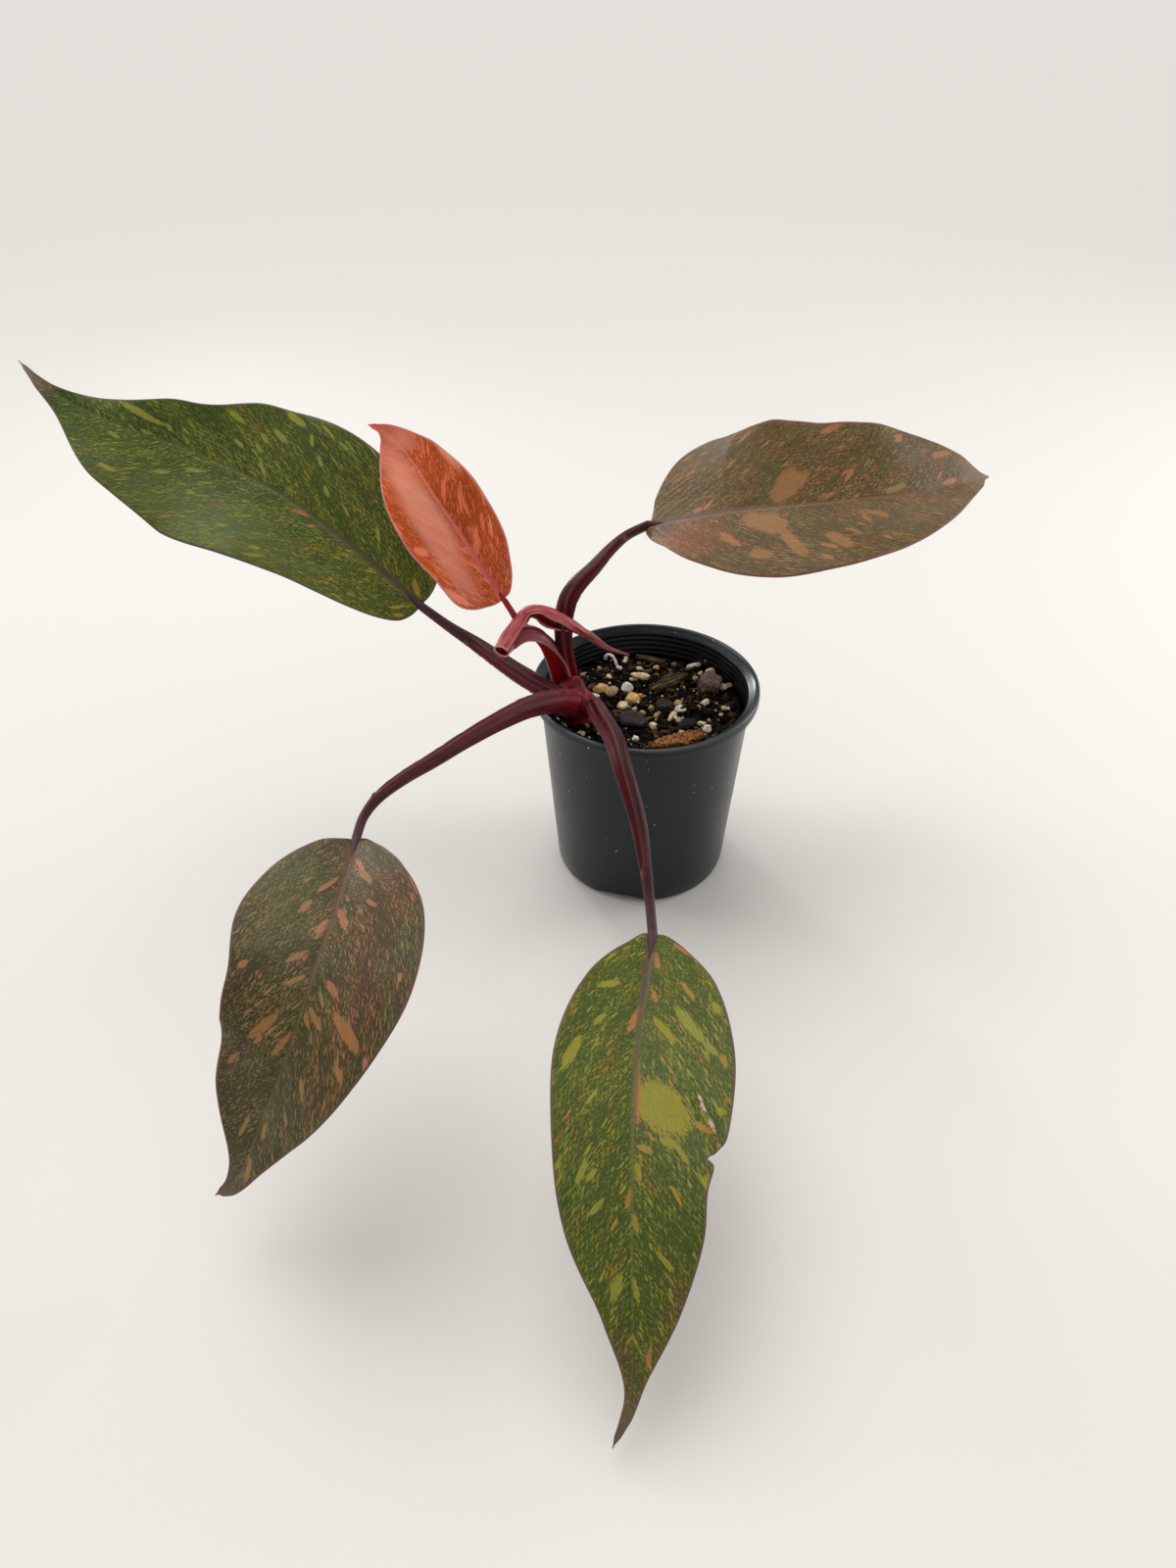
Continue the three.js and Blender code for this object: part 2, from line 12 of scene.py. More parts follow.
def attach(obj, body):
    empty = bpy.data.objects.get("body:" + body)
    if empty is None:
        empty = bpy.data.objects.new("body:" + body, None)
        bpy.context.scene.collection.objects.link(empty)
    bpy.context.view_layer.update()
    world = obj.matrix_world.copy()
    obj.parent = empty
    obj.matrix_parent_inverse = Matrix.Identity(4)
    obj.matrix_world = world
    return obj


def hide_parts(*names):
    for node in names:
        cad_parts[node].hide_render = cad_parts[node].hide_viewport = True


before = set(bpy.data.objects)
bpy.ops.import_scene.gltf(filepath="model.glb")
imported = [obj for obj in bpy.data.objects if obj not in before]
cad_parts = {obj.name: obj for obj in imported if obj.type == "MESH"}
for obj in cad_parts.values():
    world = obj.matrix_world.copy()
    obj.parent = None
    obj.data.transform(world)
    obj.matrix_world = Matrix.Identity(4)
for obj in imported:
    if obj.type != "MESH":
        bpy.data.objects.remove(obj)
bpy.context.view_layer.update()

# Studio: a pale matt floor, a pale room, one broad soft lamp above and behind the plant, a
# strip on each side, whose reflections draw the pot's edges, and a small one behind for the
# glint on the rim. The camera is the photograph's: 39 degrees down, with a lens as wide as
# 1200 pixels on a 1600 pixel side.
MM = 0.001
CAMERA_AT = (-25.4, -430, 385)
CAMERA_PITCH = 38.85
LENS_MM = 27


def colour(code):
    """Linear red, green, blue and alpha of an sRGB hex value."""
    parts = [int(code[i : i + 2], 16) / 255 for i in (1, 3, 5)]
    return [p / 12.92 if p <= 0.04045 else ((p + 0.055) / 1.055) ** 2.4 for p in parts] + [1.0]


def link(tree, value, socket):
    """Gives a socket a plain value, an sRGB hex colour or what another node puts out."""
    if isinstance(value, bpy.types.Node):
        value = next(s for s in value.outputs if s.enabled)
    if isinstance(value, bpy.types.NodeSocket):
        tree.links.new(value, socket)
    elif isinstance(value, str):
        socket.default_value = colour(value)
    elif value is not None:
        socket.default_value = value


def add(tree, kind, inputs=(), stops=(), **settings):
    """A shader node with its settings, its colour stops and what its sockets get: one thing
    for the first socket, a row in the order in which the node shows them, or by name."""
    made = tree.nodes.new("ShaderNode" + kind)
    for name, value in settings.items():
        setattr(made, name, value)
    stops = list(stops)
    while stops and len(made.color_ramp.elements) < len(stops):
        made.color_ramp.elements.new(0.5)
    for i, (position, value) in enumerate(stops):
        made.color_ramp.elements[i].position = position
        made.color_ramp.elements[i].color = colour(value)
    shown = [s for s in made.inputs if s.enabled]
    if isinstance(inputs, dict):
        shown, inputs = [made.inputs[name] for name in inputs], list(inputs.values())
    elif not isinstance(inputs, tuple):
        inputs = (inputs,)
    for socket, value in zip(shown, inputs):
        link(tree, value, socket)
    return made


def new_finish(name, **sockets):
    """A material with its own nodes: the material, its tree and its surface shader."""
    material = bpy.data.materials.new(name)
    material.use_nodes = True
    tree = material.node_tree
    shader = tree.nodes["Principled BSDF"]
    for socket, value in sockets.items():
        link(tree, value, shader.inputs[socket.replace("_", " ")])
    return material, tree, shader


def put(name, mesh, finishes):
    """An object in the scene from a bmesh, with its materials."""
    data = bpy.data.meshes.new(name)
    mesh.to_mesh(data)
    mesh.free()
    made = bpy.data.objects.new(name, data)
    bpy.context.scene.collection.objects.link(made)
    for finish in finishes:
        data.materials.append(finish)
    data.polygons.foreach_set("use_smooth", [True] * len(data.polygons))
    return made


STUDIO_HALF = 8  # metres
floor_paint, tree, shader = new_finish("matt_floor_paint", Roughness=0.8)
cloud = add(tree, "TexNoise", (None, 1.5, 3.0))
tone = add(tree, "ValToRGB", cloud, [(0.3, "#d9d6d1"), (0.7, "#dedbd7")])
link(tree, tone, shader.inputs["Base Color"])
floor_mesh = bmesh.new()
bmesh.ops.create_grid(floor_mesh, x_segments=4, y_segments=4, size=STUDIO_HALF)
floor = put("studio_floor", floor_mesh, [floor_paint])

room = bpy.data.worlds.new("pale_room")
room.use_nodes = True
room.node_tree.nodes["Background"].inputs["Color"].default_value = colour("#e6e4e2")
room.node_tree.nodes["Background"].inputs["Strength"].default_value = 0.8
scene = bpy.context.scene
scene.world = room
scene.view_settings.view_transform = "Standard"


def lamp(name, at, aim, size, power, spread=180):
    """A soft rectangular lamp that points at aim."""
    data = bpy.data.lights.new(name, "AREA")
    data.shape = "RECTANGLE"
    data.size, data.size_y = (s * MM for s in size)
    data.energy = power
    data.spread = math.radians(spread)
    made = bpy.data.objects.new(name, data)
    made.location = Vector(at) * MM
    made.rotation_euler = (Vector(aim) - Vector(at)).to_track_quat("-Z", "Y").to_euler()
    scene.collection.objects.link(made)


lamp("strip_left", (-950, 250, 420), (0, 0, 60), (220, 900), 1.8)
lamp("strip_right", (900, 300, 380), (0, 0, 60), (360, 900), 3.6)
lamp("rim_light", (-575, 990, 380), (48, 5, 96), (170, 300), 0.3, spread=60)
overhead = bpy.data.lights.new("broad_overhead", "SUN")
overhead.energy = 1.5
overhead.angle = math.radians(50)
softbox = bpy.data.objects.new("broad_overhead", overhead)
softbox.rotation_euler = (math.radians(-22), math.radians(-14), 0)
scene.collection.objects.link(softbox)

camera_data = bpy.data.cameras.new("photograph_view")
camera_data.lens = LENS_MM
camera_data.sensor_width = 36
camera_data.clip_start = 0.01
camera_data.clip_end = 50
camera = bpy.data.objects.new("photograph_view", camera_data)
camera.location = Vector(CAMERA_AT) * MM
camera.rotation_euler = (math.radians(90 - CAMERA_PITCH), 0, 0)
scene.collection.objects.link(camera)
scene.camera = camera


# Pot: a thin tapered tub, injection moulded from black polypropylene. The rim is a turned
# out band with a grey highlight painted on its top ring, fine grip ribs run round inside the
# mouth, and four low arches at the bottom edge let the water out. It stands on its rounded base.
POT_HEIGHT = 96
RIM_RADIUS = 50
BAND_BOTTOM = 91.2
BODY_TOP_RADIUS = 46.4
BASE_RADIUS = 39.6
WALL = 1.2
FLOOR = 2.4
INNER_RIBS = 5
RIB_PITCH = 2.5
ARCH_ANGLES = (-16, 74, 164, 254)
ARCH_WIDTH = 25
ARCH_HEIGHT = 4
BELOW_RIBS = 76  # from here down the inside is a plain cone


def body_radius(z):
    """Outer radius of the pot's tapered body at a height."""
    return BASE_RADIUS + (BODY_TOP_RADIUS - BASE_RADIUS) * (z - FLOOR) / (BAND_BOTTOM - FLOOR)


def turned(profile, steps=128):
    """A bmesh of a profile of (radius, height) spun once round the upright axis."""
    mesh = bmesh.new()
    corners = [mesh.verts.new((r * MM, 0, z * MM)) for r, z in profile]
    edges = [mesh.edges.new(pair) for pair in zip(corners, corners[1:])]
    bmesh.ops.spin(
        mesh,
        geom=corners + edges,
        axis=(0, 0, 1),
        cent=(0, 0, 0),
        angle=2 * math.pi,
        steps=steps,
        use_merge=True,
    )
    bmesh.ops.remove_doubles(mesh, verts=mesh.verts, dist=1e-6)
    bmesh.ops.recalc_face_normals(mesh, faces=mesh.faces)
    return mesh


pot_profile = [(0, 0), (36.6, 0), (38.2, 0.4), (39.2, 1.3), (BASE_RADIUS, FLOOR)]
pot_profile += [(body_radius(z), z) for z in (10, 30, 50, 70, 85)]
pot_profile += [
    (46.4, BAND_BOTTOM - 0.3), (46.7, BAND_BOTTOM), (49.3, BAND_BOTTOM), (49.8, 91.5), (50, 92.2),
    (50, 94.6), (49.8, 95.5), (49.4, 95.9), (48.9, 96), (48.4, 95.8), (47.6, 95.2), (46.2, 94),
]
for i in range(INNER_RIBS):
    z = POT_HEIGHT - 3.2 - RIB_PITCH * i
    inner = min(body_radius(z) - WALL, RIM_RADIUS - 2.9)
    pot_profile += [(inner, z + 0.7), (inner - 0.35, z + 0.25), (inner - 0.35, z - 0.25)]
    pot_profile += [(inner, z - 0.7)]
pot_profile += [(body_radius(BELOW_RIBS) - WALL, BELOW_RIBS), (38.4, 3.4), (37.4, FLOOR), (0, FLOOR)]
pot = put("nursery_pot", turned(pot_profile), [])


def settle(made, *cutters):
    """Puts what the modifiers give into the mesh itself and takes the cutters away."""
    view = bpy.context.evaluated_depsgraph_get()
    baked = bpy.data.meshes.new_from_object(made.evaluated_get(view))
    made.modifiers.clear()
    made.data = baked
    for cutter in cutters:
        bpy.data.objects.remove(cutter)


arch_mesh = bmesh.new()
for angle in ARCH_ANGLES:
    lying = Matrix.Rotation(math.radians(angle), 4, "Z") @ Matrix.Translation((0, -0.0385, 0))
    arch = lying @ Matrix.Diagonal((ARCH_WIDTH / 2 * MM, 0.004, ARCH_HEIGHT * MM, 1))
    turn = arch @ Matrix.Rotation(math.radians(90), 4, "X")
    bmesh.ops.create_cone(
        arch_mesh, cap_ends=True, segments=48, radius1=1, radius2=1, depth=2, matrix=turn
    )
bmesh.ops.recalc_face_normals(arch_mesh, faces=arch_mesh.faces)
arches = put("arches", arch_mesh, [])
cut = pot.modifiers.new("drain_arches", "BOOLEAN")
cut.operation = "DIFFERENCE"
cut.object = arches
cut.solver = "EXACT"
settle(pot, arches)

# Black polypropylene, moulded with a satin grain: it mirrors the room softly, shows faint
# draw lines round the body and collects pale dust specks. A grey highlight is painted on the
# rim's top outer edge, and painted shade darkens the inside of the mouth.
black_plastic, tree, shader = new_finish(
    "black_polypropylene_moulded", IOR=1.58, Specular_Tint="#b3bcc1"
)
where = add(tree, "TexCoord").outputs["Object"]
split = add(tree, "SeparateXYZ", where)
dust_cells = add(tree, "TexVoronoi", (where, 240.0))
dust_pick = add(tree, "SeparateColor", dust_cells.outputs["Color"])
dust_size = add(tree, "MapRange", (dust_pick, 0.55, 1, 0, 0.11))
dust = add(tree, "Math", (dust_cells.outputs["Distance"], dust_size), operation="LESS_THAN")
smear = add(tree, "TexNoise", (where, 38.0, 5.0, 0.6))
base_dark = add(tree, "ValToRGB", smear, [(0.3, "#0b0f12"), (0.7, "#12171a")])
# Painted shade: the inside of the wall above 50 mm is painted near black, darker than the body.
levelled = add(tree, "VectorMath", (where, (1, 1, 0)), operation="MULTIPLY")
from_axis = add(tree, "VectorMath", levelled, operation="LENGTH").outputs["Value"]
MID_WALL_SLOPE, MID_WALL_FOOT = 0.0766, 0.0388  # the cone between the wall's two sides
mid_wall = (split.outputs["Z"], MID_WALL_SLOPE, MID_WALL_FOOT)
mid_wall = add(tree, "Math", mid_wall, operation="MULTIPLY_ADD")
within = add(tree, "Math", (from_axis, mid_wall), operation="LESS_THAN")
above = add(tree, "Math", (split.outputs["Z"], 0.05), operation="GREATER_THAN")
painted_mouth_shade = add(tree, "Math", (within, above), operation="MULTIPLY")
base_dark = add(tree, "Mix", (painted_mouth_shade, base_dark, "#050506"), data_type="RGBA")
# Painted highlight: a grey band is painted round the outer edge of the rim's top; the same top band is
# made glossier below.
rim_top_band = add(tree, "MapRange", (split.outputs["Z"], 0.0945, 0.0958))
outer_edge = add(tree, "MapRange", (from_axis, 0.0488, 0.0496, 0.15))
wear_and_rim_highlight = add(tree, "Math", (rim_top_band, outer_edge), operation="MULTIPLY")
rim_highlighted = add(tree, "Mix", (wear_and_rim_highlight, base_dark, "#4c5052"), data_type="RGBA")
dusty = add(tree, "Mix", (dust, rim_highlighted, "#a9a9a6"), data_type="RGBA")
link(tree, dusty, shader.inputs["Base Color"])
satin = add(tree, "MapRange", (smear, 0.3, 0.7, 0.26, 0.38))
polish = add(tree, "Math", (rim_top_band, -0.6, 1.0), operation="MULTIPLY_ADD")
satin = add(tree, "Math", (satin, polish), operation="MULTIPLY")
link(tree, satin, shader.inputs["Roughness"])
lines_at = add(tree, "VectorMath", (where, (30, 30, 900)), operation="MULTIPLY")
draw_lines = add(tree, "TexNoise", (lines_at, 1.0))
moulded = add(tree, "TexNoise", (where, 1500.0, 1.0))
moulded = add(tree, "Math", (moulded, 0.4), operation="MULTIPLY")
relief = add(tree, "Math", (draw_lines, 0.5, moulded), operation="MULTIPLY_ADD")
bump = add(tree, "Bump", {"Strength": 0.25, "Distance": 0.0001, "Height": relief})
link(tree, bump, shader.inputs["Normal"])
pot.data.materials.append(black_plastic)
pot.data.polygons.foreach_set("use_smooth", [True] * len(pot.data.polygons))
pot.data.set_sharp_from_angle(angle=math.radians(38))
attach(pot, "root")
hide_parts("pot")


# Potting mix: black peat with bark crumbs, coir fibres and pale grit, filled to 14 mm under
# the rim. It is one uneven plug, with the crumbs, fibres and grit bedded in its top.
SOIL_LEVEL = 82
SOIL_GAP = 0.3
SOIL_EDGE = body_radius(BELOW_RIBS) - WALL - SOIL_GAP - 0.2


def unevenness(x, y):
    """Height of the mix above its level, in millimetres."""
    swell = 0.5 * math.sin(0.31 * x + 1.7) * math.cos(0.27 * y)
    lumps = 0.35 * math.sin(0.7 * x - 0.5 * y)
    return swell + lumps + 0.25 * math.cos(0.9 * y + 0.4 * x)


def mix_height(x, y):
    """Height of the mix with its fine crumble."""
    fine = noise.noise(Vector((x, y, 3)) * 0.45) + 0.5 * noise.noise(Vector((x, y, 9)) * 1.1)
    return SOIL_LEVEL + unevenness(x, y) + 1.1 * fine


mix_profile = [(0, 2.7), (36.9, 2.7), (38.1, 3.8)]
mix_profile += [(body_radius(BELOW_RIBS) - WALL - 0.4, BELOW_RIBS), (SOIL_EDGE, SOIL_LEVEL - 1.6)]
mix_profile += [(SOIL_EDGE * (1 - i / 60), SOIL_LEVEL) for i in range(1, 61)]
mix_mesh = turned(mix_profile, 180)
for vertex in mix_mesh.verts:
    x, y, z = vertex.co / MM
    if z > SOIL_LEVEL - 0.1:
        vertex.co.z = mix_height(x, y) * MM

black_peat, tree, shader = new_finish(
    "peat_with_crumbled_bark", Roughness=0.95, Specular_IOR_Level=0.1
)
where = add(tree, "TexCoord").outputs["Object"]
lumps = add(tree, "TexNoise", (where, 420.0, 6.0, 0.7))
patches = add(tree, "TexNoise", (where, 95.0, 3.0))
dark_tones = [(0.3, "#010101"), (0.5, "#090706"), (0.62, "#18110c"), (0.75, "#4a3822")]
dark_mix = add(tree, "ValToRGB", lumps, dark_tones)
brown_mix = add(tree, "ValToRGB", lumps, [(0.3, "#0a0705"), (0.55, "#2a1d12"), (0.75, "#5c4527")])
where_brown = add(tree, "MapRange", (patches, 0.55, 0.66))
peat_tone = add(tree, "Mix", (where_brown, dark_mix, brown_mix), data_type="RGBA")
dust = add(tree, "TexVoronoi", (where, 900.0))
dusty = add(tree, "MapRange", (dust, 0.16, 0.22, 0.75, 0.0))
dusted = add(tree, "Math", (dusty, where_brown), operation="MULTIPLY")
peat_dusted = add(tree, "Mix", (dusted, peat_tone, "#a38a5c"), data_type="RGBA")
link(tree, peat_dusted, shader.inputs["Base Color"])
crumble = add(tree, "Bump", {"Strength": 0.9, "Distance": 0.0006, "Height": lumps})
link(tree, crumble, shader.inputs["Normal"])
mix = put("potting_mix_top", mix_mesh, [black_peat])
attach(mix, "root")
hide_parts("potting_mix")

# Grains on the mix: rounded quartz and limestone grit, tan, cream and white. The larger ones
# lie where the photograph has them: x, y, length, width, height, turn and shade.
CREAM, WHITE, YELLOW, TAN, MAUVE = "#ead9b6", "#f2eee4", "#d8b468", "#b8926c", "#7a5a52"
PEBBLES = (
    (-19.6, 13.9, 7, 6, 5, 20, YELLOW), (-14.7, 11, 6.5, 5.5, 4.5, 70, TAN),
    (-7.5, 14.4, 5, 5, 4.5, 0, WHITE), (-5.6, 6.1, 7.5, 6.5, 5, 35, YELLOW),
    (-1, 22.7, 8.5, 4, 3.6, -18, CREAM), (-9.6, 2.2, 6, 4, 3, 60, CREAM),
    (-23.6, 10, 8, 3, 2, -38, WHITE), (3.2, -14.9, 4.2, 3.6, 3, 0, CREAM),
    (27.1, 3.4, 4.6, 3.8, 3.2, 40, CREAM), (15.5, -2.3, 5, 4, 3.4, 10, WHITE),
    (14.5, 2.2, 3.6, 3, 3, 0, YELLOW), (11.8, -7.5, 5.4, 3, 3, 60, CREAM),
    (24.1, 33.4, 6.5, 3, 2.8, 30, WHITE), (38.3, 32.6, 6, 4.4, 3.6, 55, CREAM),
    (26.1, -17.8, 4.4, 3.6, 3.2, -20, WHITE), (24.4, -12, 4.6, 3, 2, 15, CREAM),
    (36.4, 16.3, 3.2, 4.4, 3, 0, WHITE), (41.4, 17.9, 3.6, 2.6, 2.4, 20, TAN),
    (-36.5, -16, 6.4, 4, 3, -40, CREAM), (-28.8, -20.5, 4, 3.4, 2.6, 0, CREAM),
)
SMALL_GRIT = 330
EDGE_WEAR = 16  # the lower, the rounder the edges of a grain
rng = random.Random(7)


def grain(mesh, tint, at, size, turn, shade, detail, flats=9):
    """A broken stone or crumb round a point: a lump cut by a few flats with worn edges."""
    tilt = Euler((rng.uniform(-0.3, 0.3), rng.uniform(-0.3, 0.3), math.radians(turn)))
    matrix = (
        Matrix.Translation(Vector(at) * MM)
        @ tilt.to_matrix().to_4x4()
        @ Matrix.Diagonal((size[0] / 2 * MM, size[1] / 2 * MM, size[2] / 2 * MM, 1))
    )
    cuts = []
    while len(cuts) < flats:
        cut = Vector((rng.gauss(0, 1), rng.gauss(0, 1), rng.gauss(0, 1))).normalized()
        cuts.append((cut, rng.uniform(0.62, 0.95)))
    made = bmesh.ops.create_icosphere(mesh, subdivisions=detail, radius=1)["verts"]
    for vertex in made:
        out = vertex.co.normalized()
        wear_and_rim_highlight = math.exp(-EDGE_WEAR)
        for cut, depth in cuts:
            facing = out.dot(cut)
            if facing > 0.05:
                wear_and_rim_highlight += math.exp(-EDGE_WEAR * depth / facing)
        rough = 0.03 * noise.noise(out * 4 + cuts[0][0] * 9)
        vertex.co = matrix @ (out * (-math.log(wear_and_rim_highlight) / EDGE_WEAR + rough))
        vertex[tint] = shade


def tinted(code, spread=0.15):
    """A hex colour made a little lighter or darker by chance."""
    k = 1 + rng.uniform(-spread, spread)
    return [min(1, c * k) for c in colour(code)[:3]] + [1.0]


grit_mesh = bmesh.new()
tint = grit_mesh.verts.layers.float_color.new("tint")
for x, y, length, width, height, turn, shade in PEBBLES:
    inward = min(1, (SOIL_EDGE - 0.5 * width) / math.hypot(x, y))
    x, y = x * inward, y * inward
    at = (x, y, SOIL_LEVEL + unevenness(x, y) + 0.34 * height)
    grain(grit_mesh, tint, at, (1.2 * length, 1.2 * width, 1.1 * height), turn, tinted(shade, 0.08), 4)
for _ in range(SMALL_GRIT):
    angle, reach = rng.uniform(0, 2 * math.pi), (SOIL_EDGE - 2) * math.sqrt(rng.random())
    x, y = reach * math.cos(angle), reach * math.sin(angle)
    size = rng.choice((0.5, 0.6, 0.8, 1.0, 1.3, 1.8, 2.6, 3.4))
    shade = rng.choice((CREAM, WHITE, CREAM, YELLOW, TAN, TAN, MAUVE, "#5a4630"))
    box = (size, size * rng.uniform(0.6, 0.9), size * rng.uniform(0.5, 0.9))
    at = (x, y, mix_height(x, y) + 0.2 * size)
    grain(grit_mesh, tint, at, box, rng.uniform(0, 180), tinted(shade), 2, 7)

# Water-worn grit: pale stone with a fine speckle and a dull, dusty surface.
worn_grit, tree, shader = new_finish("quartz_and_limestone_grit", Roughness=0.7)
own = add(tree, "Attribute", attribute_name="tint")
where = add(tree, "TexCoord").outputs["Object"]
speckle = add(tree, "TexNoise", (where, 900.0, 4.0, 0.65))
stain = add(tree, "TexNoise", (where, 260.0))
speckle_tone = add(tree, "ValToRGB", speckle, [(0.35, "#9c8d78"), (0.58, "#ffffff")])
speckled = add(tree, "Mix", (0.75, own, speckle_tone), data_type="RGBA", blend_type="MULTIPLY")
stain_amount = add(tree, "MapRange", (stain, 0.55, 0.74, 0, 0.6))
stained = add(tree, "Mix", (stain_amount, speckled, "#6a4a26"), data_type="RGBA")
link(tree, stained, shader.inputs["Base Color"])
pitted = add(tree, "Bump", {"Strength": 0.5, "Distance": 0.0003, "Height": speckle})
link(tree, pitted, shader.inputs["Normal"])
grit = put("grit", grit_mesh, [worn_grit])
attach(grit, "root")

# Bark crumbs and coir: broken flakes of composted bark and short bent fibres from black to
# straw colour, strewn over the peat and half bedded in it.
CRUMBS = 620
FIBRES = 130
crumb_mesh = bmesh.new()
tint = crumb_mesh.verts.layers.float_color.new("tint")
for _ in range(CRUMBS):
    angle, reach = rng.uniform(0, 2 * math.pi), (SOIL_EDGE - 1.5) * math.sqrt(rng.random())
    x, y = reach * math.cos(angle), reach * math.sin(angle)
    size = rng.choice((1.2, 1.6, 2.2, 3.0, 4.2, 6.5))
    shade = rng.choice(("#0c0a09", "#14100d", "#1d1611", "#2b1f14", "#3b2a18", "#5d4424", "#0c0d0e"))
    box = (size, size * rng.uniform(0.3, 0.7), size * rng.uniform(0.2, 0.45))
    at = (x, y, mix_height(x, y) + 0.15 * size)
    grain(crumb_mesh, tint, at, box, rng.uniform(0, 360), tinted(shade, 0.3), 1, 6)


def fibre(mesh, tint, start, heading, length, thick, bend, shade):
    """A thin bent strand that lies on the mix."""
    steps = 7
    rings = []
    point = Vector(start)
    for i in range(steps + 1):
        turn = heading + bend * (i / steps - 0.5)
        ahead = Vector((math.cos(turn), math.sin(turn), 0))
        point = point + ahead * (length / steps)
        lift = mix_height(point.x, point.y) + thick * 0.6 + 0.8 * math.sin(math.pi * i / steps)
        centre = Vector((point.x, point.y, lift))
        aside = ahead.cross(Vector((0, 0, 1)))
        size = thick * (1 - 0.6 * abs(2 * i / steps - 1) ** 3)
        ring = []
        for k in range(4):
            around = math.pi / 2 * k
            corner = centre + aside * size * math.cos(around) + Vector((0, 0, size * math.sin(around)))
            vertex = mesh.verts.new(corner * MM)
            vertex[tint] = shade
            ring.append(vertex)
        rings.append(ring)
    for a, b in zip(rings, rings[1:]):
        for k in range(4):
            mesh.faces.new((a[k], a[(k + 1) % 4], b[(k + 1) % 4], b[k]))
    mesh.faces.new(rings[0][::-1])
    mesh.faces.new(rings[-1])


for _ in range(FIBRES):
    angle, reach = rng.uniform(0, 2 * math.pi), (SOIL_EDGE - 9) * math.sqrt(rng.random())
    start = (reach * math.cos(angle), reach * math.sin(angle), 0)
    shade = rng.choice(("#1c140d", "#3a2815", "#6a4a20", "#94702f", "#b8914a"))
    fibre(
        crumb_mesh, tint, start, rng.uniform(0, 6.3), rng.uniform(3, 9), rng.uniform(0.12, 0.3),
        rng.uniform(-1.4, 1.4), tinted(shade, 0.2),
    )
bmesh.ops.recalc_face_normals(crumb_mesh, faces=crumb_mesh.faces)

composted_bark, tree, shader = new_finish(
    "composted_bark_and_coir", Roughness=0.9, Specular_IOR_Level=0.15
)
own = add(tree, "Attribute", attribute_name="tint")
where = add(tree, "TexCoord").outputs["Object"]
pith = add(tree, "TexNoise", (where, 700.0, 5.0, 0.7))
pith_tone = add(tree, "ValToRGB", pith, [(0.3, "#5a5048"), (0.65, "#ffffff")])
barky = add(tree, "Mix", (1.0, own, pith_tone), data_type="RGBA", blend_type="MULTIPLY")
link(tree, barky, shader.inputs["Base Color"])
torn = add(tree, "Bump", {"Strength": 0.7, "Distance": 0.0004, "Height": pith})
link(tree, torn, shader.inputs["Normal"])
crumbs = put("bark_crumbs", crumb_mesh, [composted_bark])
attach(crumbs, "root")


# Larger pieces on the mix, each bedded by half in the peat: two splinters of composted pine
# bark, a thin black chip, a crumbling piece of fresh orange bark and three stones. Each is a
# bevelled plate with an uneven outline: name, node, middle, size, turn, tilt and corners.
CHIPS = (
    ("splinter", "wood_chip", (4, 37.5, 83.6), (19, 4.2, 2.4), -24, (0, 0), 6),
    ("split_bark", "fibre_chip", (11, 17.5, 84), (25, 9, 3), 38, (4, 0), 7),
    ("mauve_pebble", "mauve_stone", (30.2, 16.8, 84), (12, 13, 7), 10, (8, 5), 7),
    ("grey_pebble", "grey_stone", (8.8, -1.2, 83.8), (10.5, 9, 4), 20, (0, 8), 6),
    ("mauve_flake", "mauve_chip", (-5.6, -12, 84.6), (15, 11, 2.2), -12, (10, 4), 6),
    ("fresh_bark", "bark_chip", (13.2, -27.8, 84.8), (28, 7.5, 4), 20, (16, 0), 11),
    ("black_chip", "dark_chip", (18, -13.5, 83.4), (12, 6, 2.2), 30, (6, 0), 5),
)
CHIP_LOOKS = {  # dark tone, mid tone, light tone, grain lines per mm, roughness of the break
    "splinter": ("#140d06", "#3c2a14", "#78603a", 0.9, 0.4),
    "split_bark": ("#080503", "#2c1f0d", "#8a6a34", 0.75, 0.8),
    "mauve_pebble": ("#3c2c2a", "#64504a", "#866d66", 0.0, 0.9),
    "grey_pebble": ("#12100f", "#2a2725", "#47423e", 0.0, 1.0),
    "mauve_flake": ("#1f181b", "#352a2f", "#55444c", 0.0, 0.7),
    "fresh_bark": ("#2e1607", "#85502a", "#c4945e", 0.0, 1.5),
    "black_chip": ("#0c0b0a", "#1c1a19", "#33302e", 0.9, 0.4),
}


def chip_finish(name, dark, middle, light, lines):
    """Dry bark, split wood or stone: broken tones, fine grain lines where the piece is wood."""
    material, tree, shader = new_finish(name, Roughness=0.85, Specular_IOR_Level=0.2)
    spread = add(tree, "UVMap", uv_map="chip")
    stretch = (0.12, 1.1 * lines, 0.8) if lines else (0.7, 0.7, 1.1)
    squeezed = add(tree, "VectorMath", (spread, stretch), operation="MULTIPLY")
    tones = add(tree, "TexNoise", (squeezed, 1.0, 7.0, 0.7))
    ramp = add(tree, "ValToRGB", tones, [(0.36, dark), (0.5, middle), (0.64, light)])
    link(tree, ramp, shader.inputs["Base Color"])
    broken = add(tree, "Bump", {"Strength": 0.6, "Distance": 0.0005, "Height": tones})
    link(tree, broken, shader.inputs["Normal"])
    return material


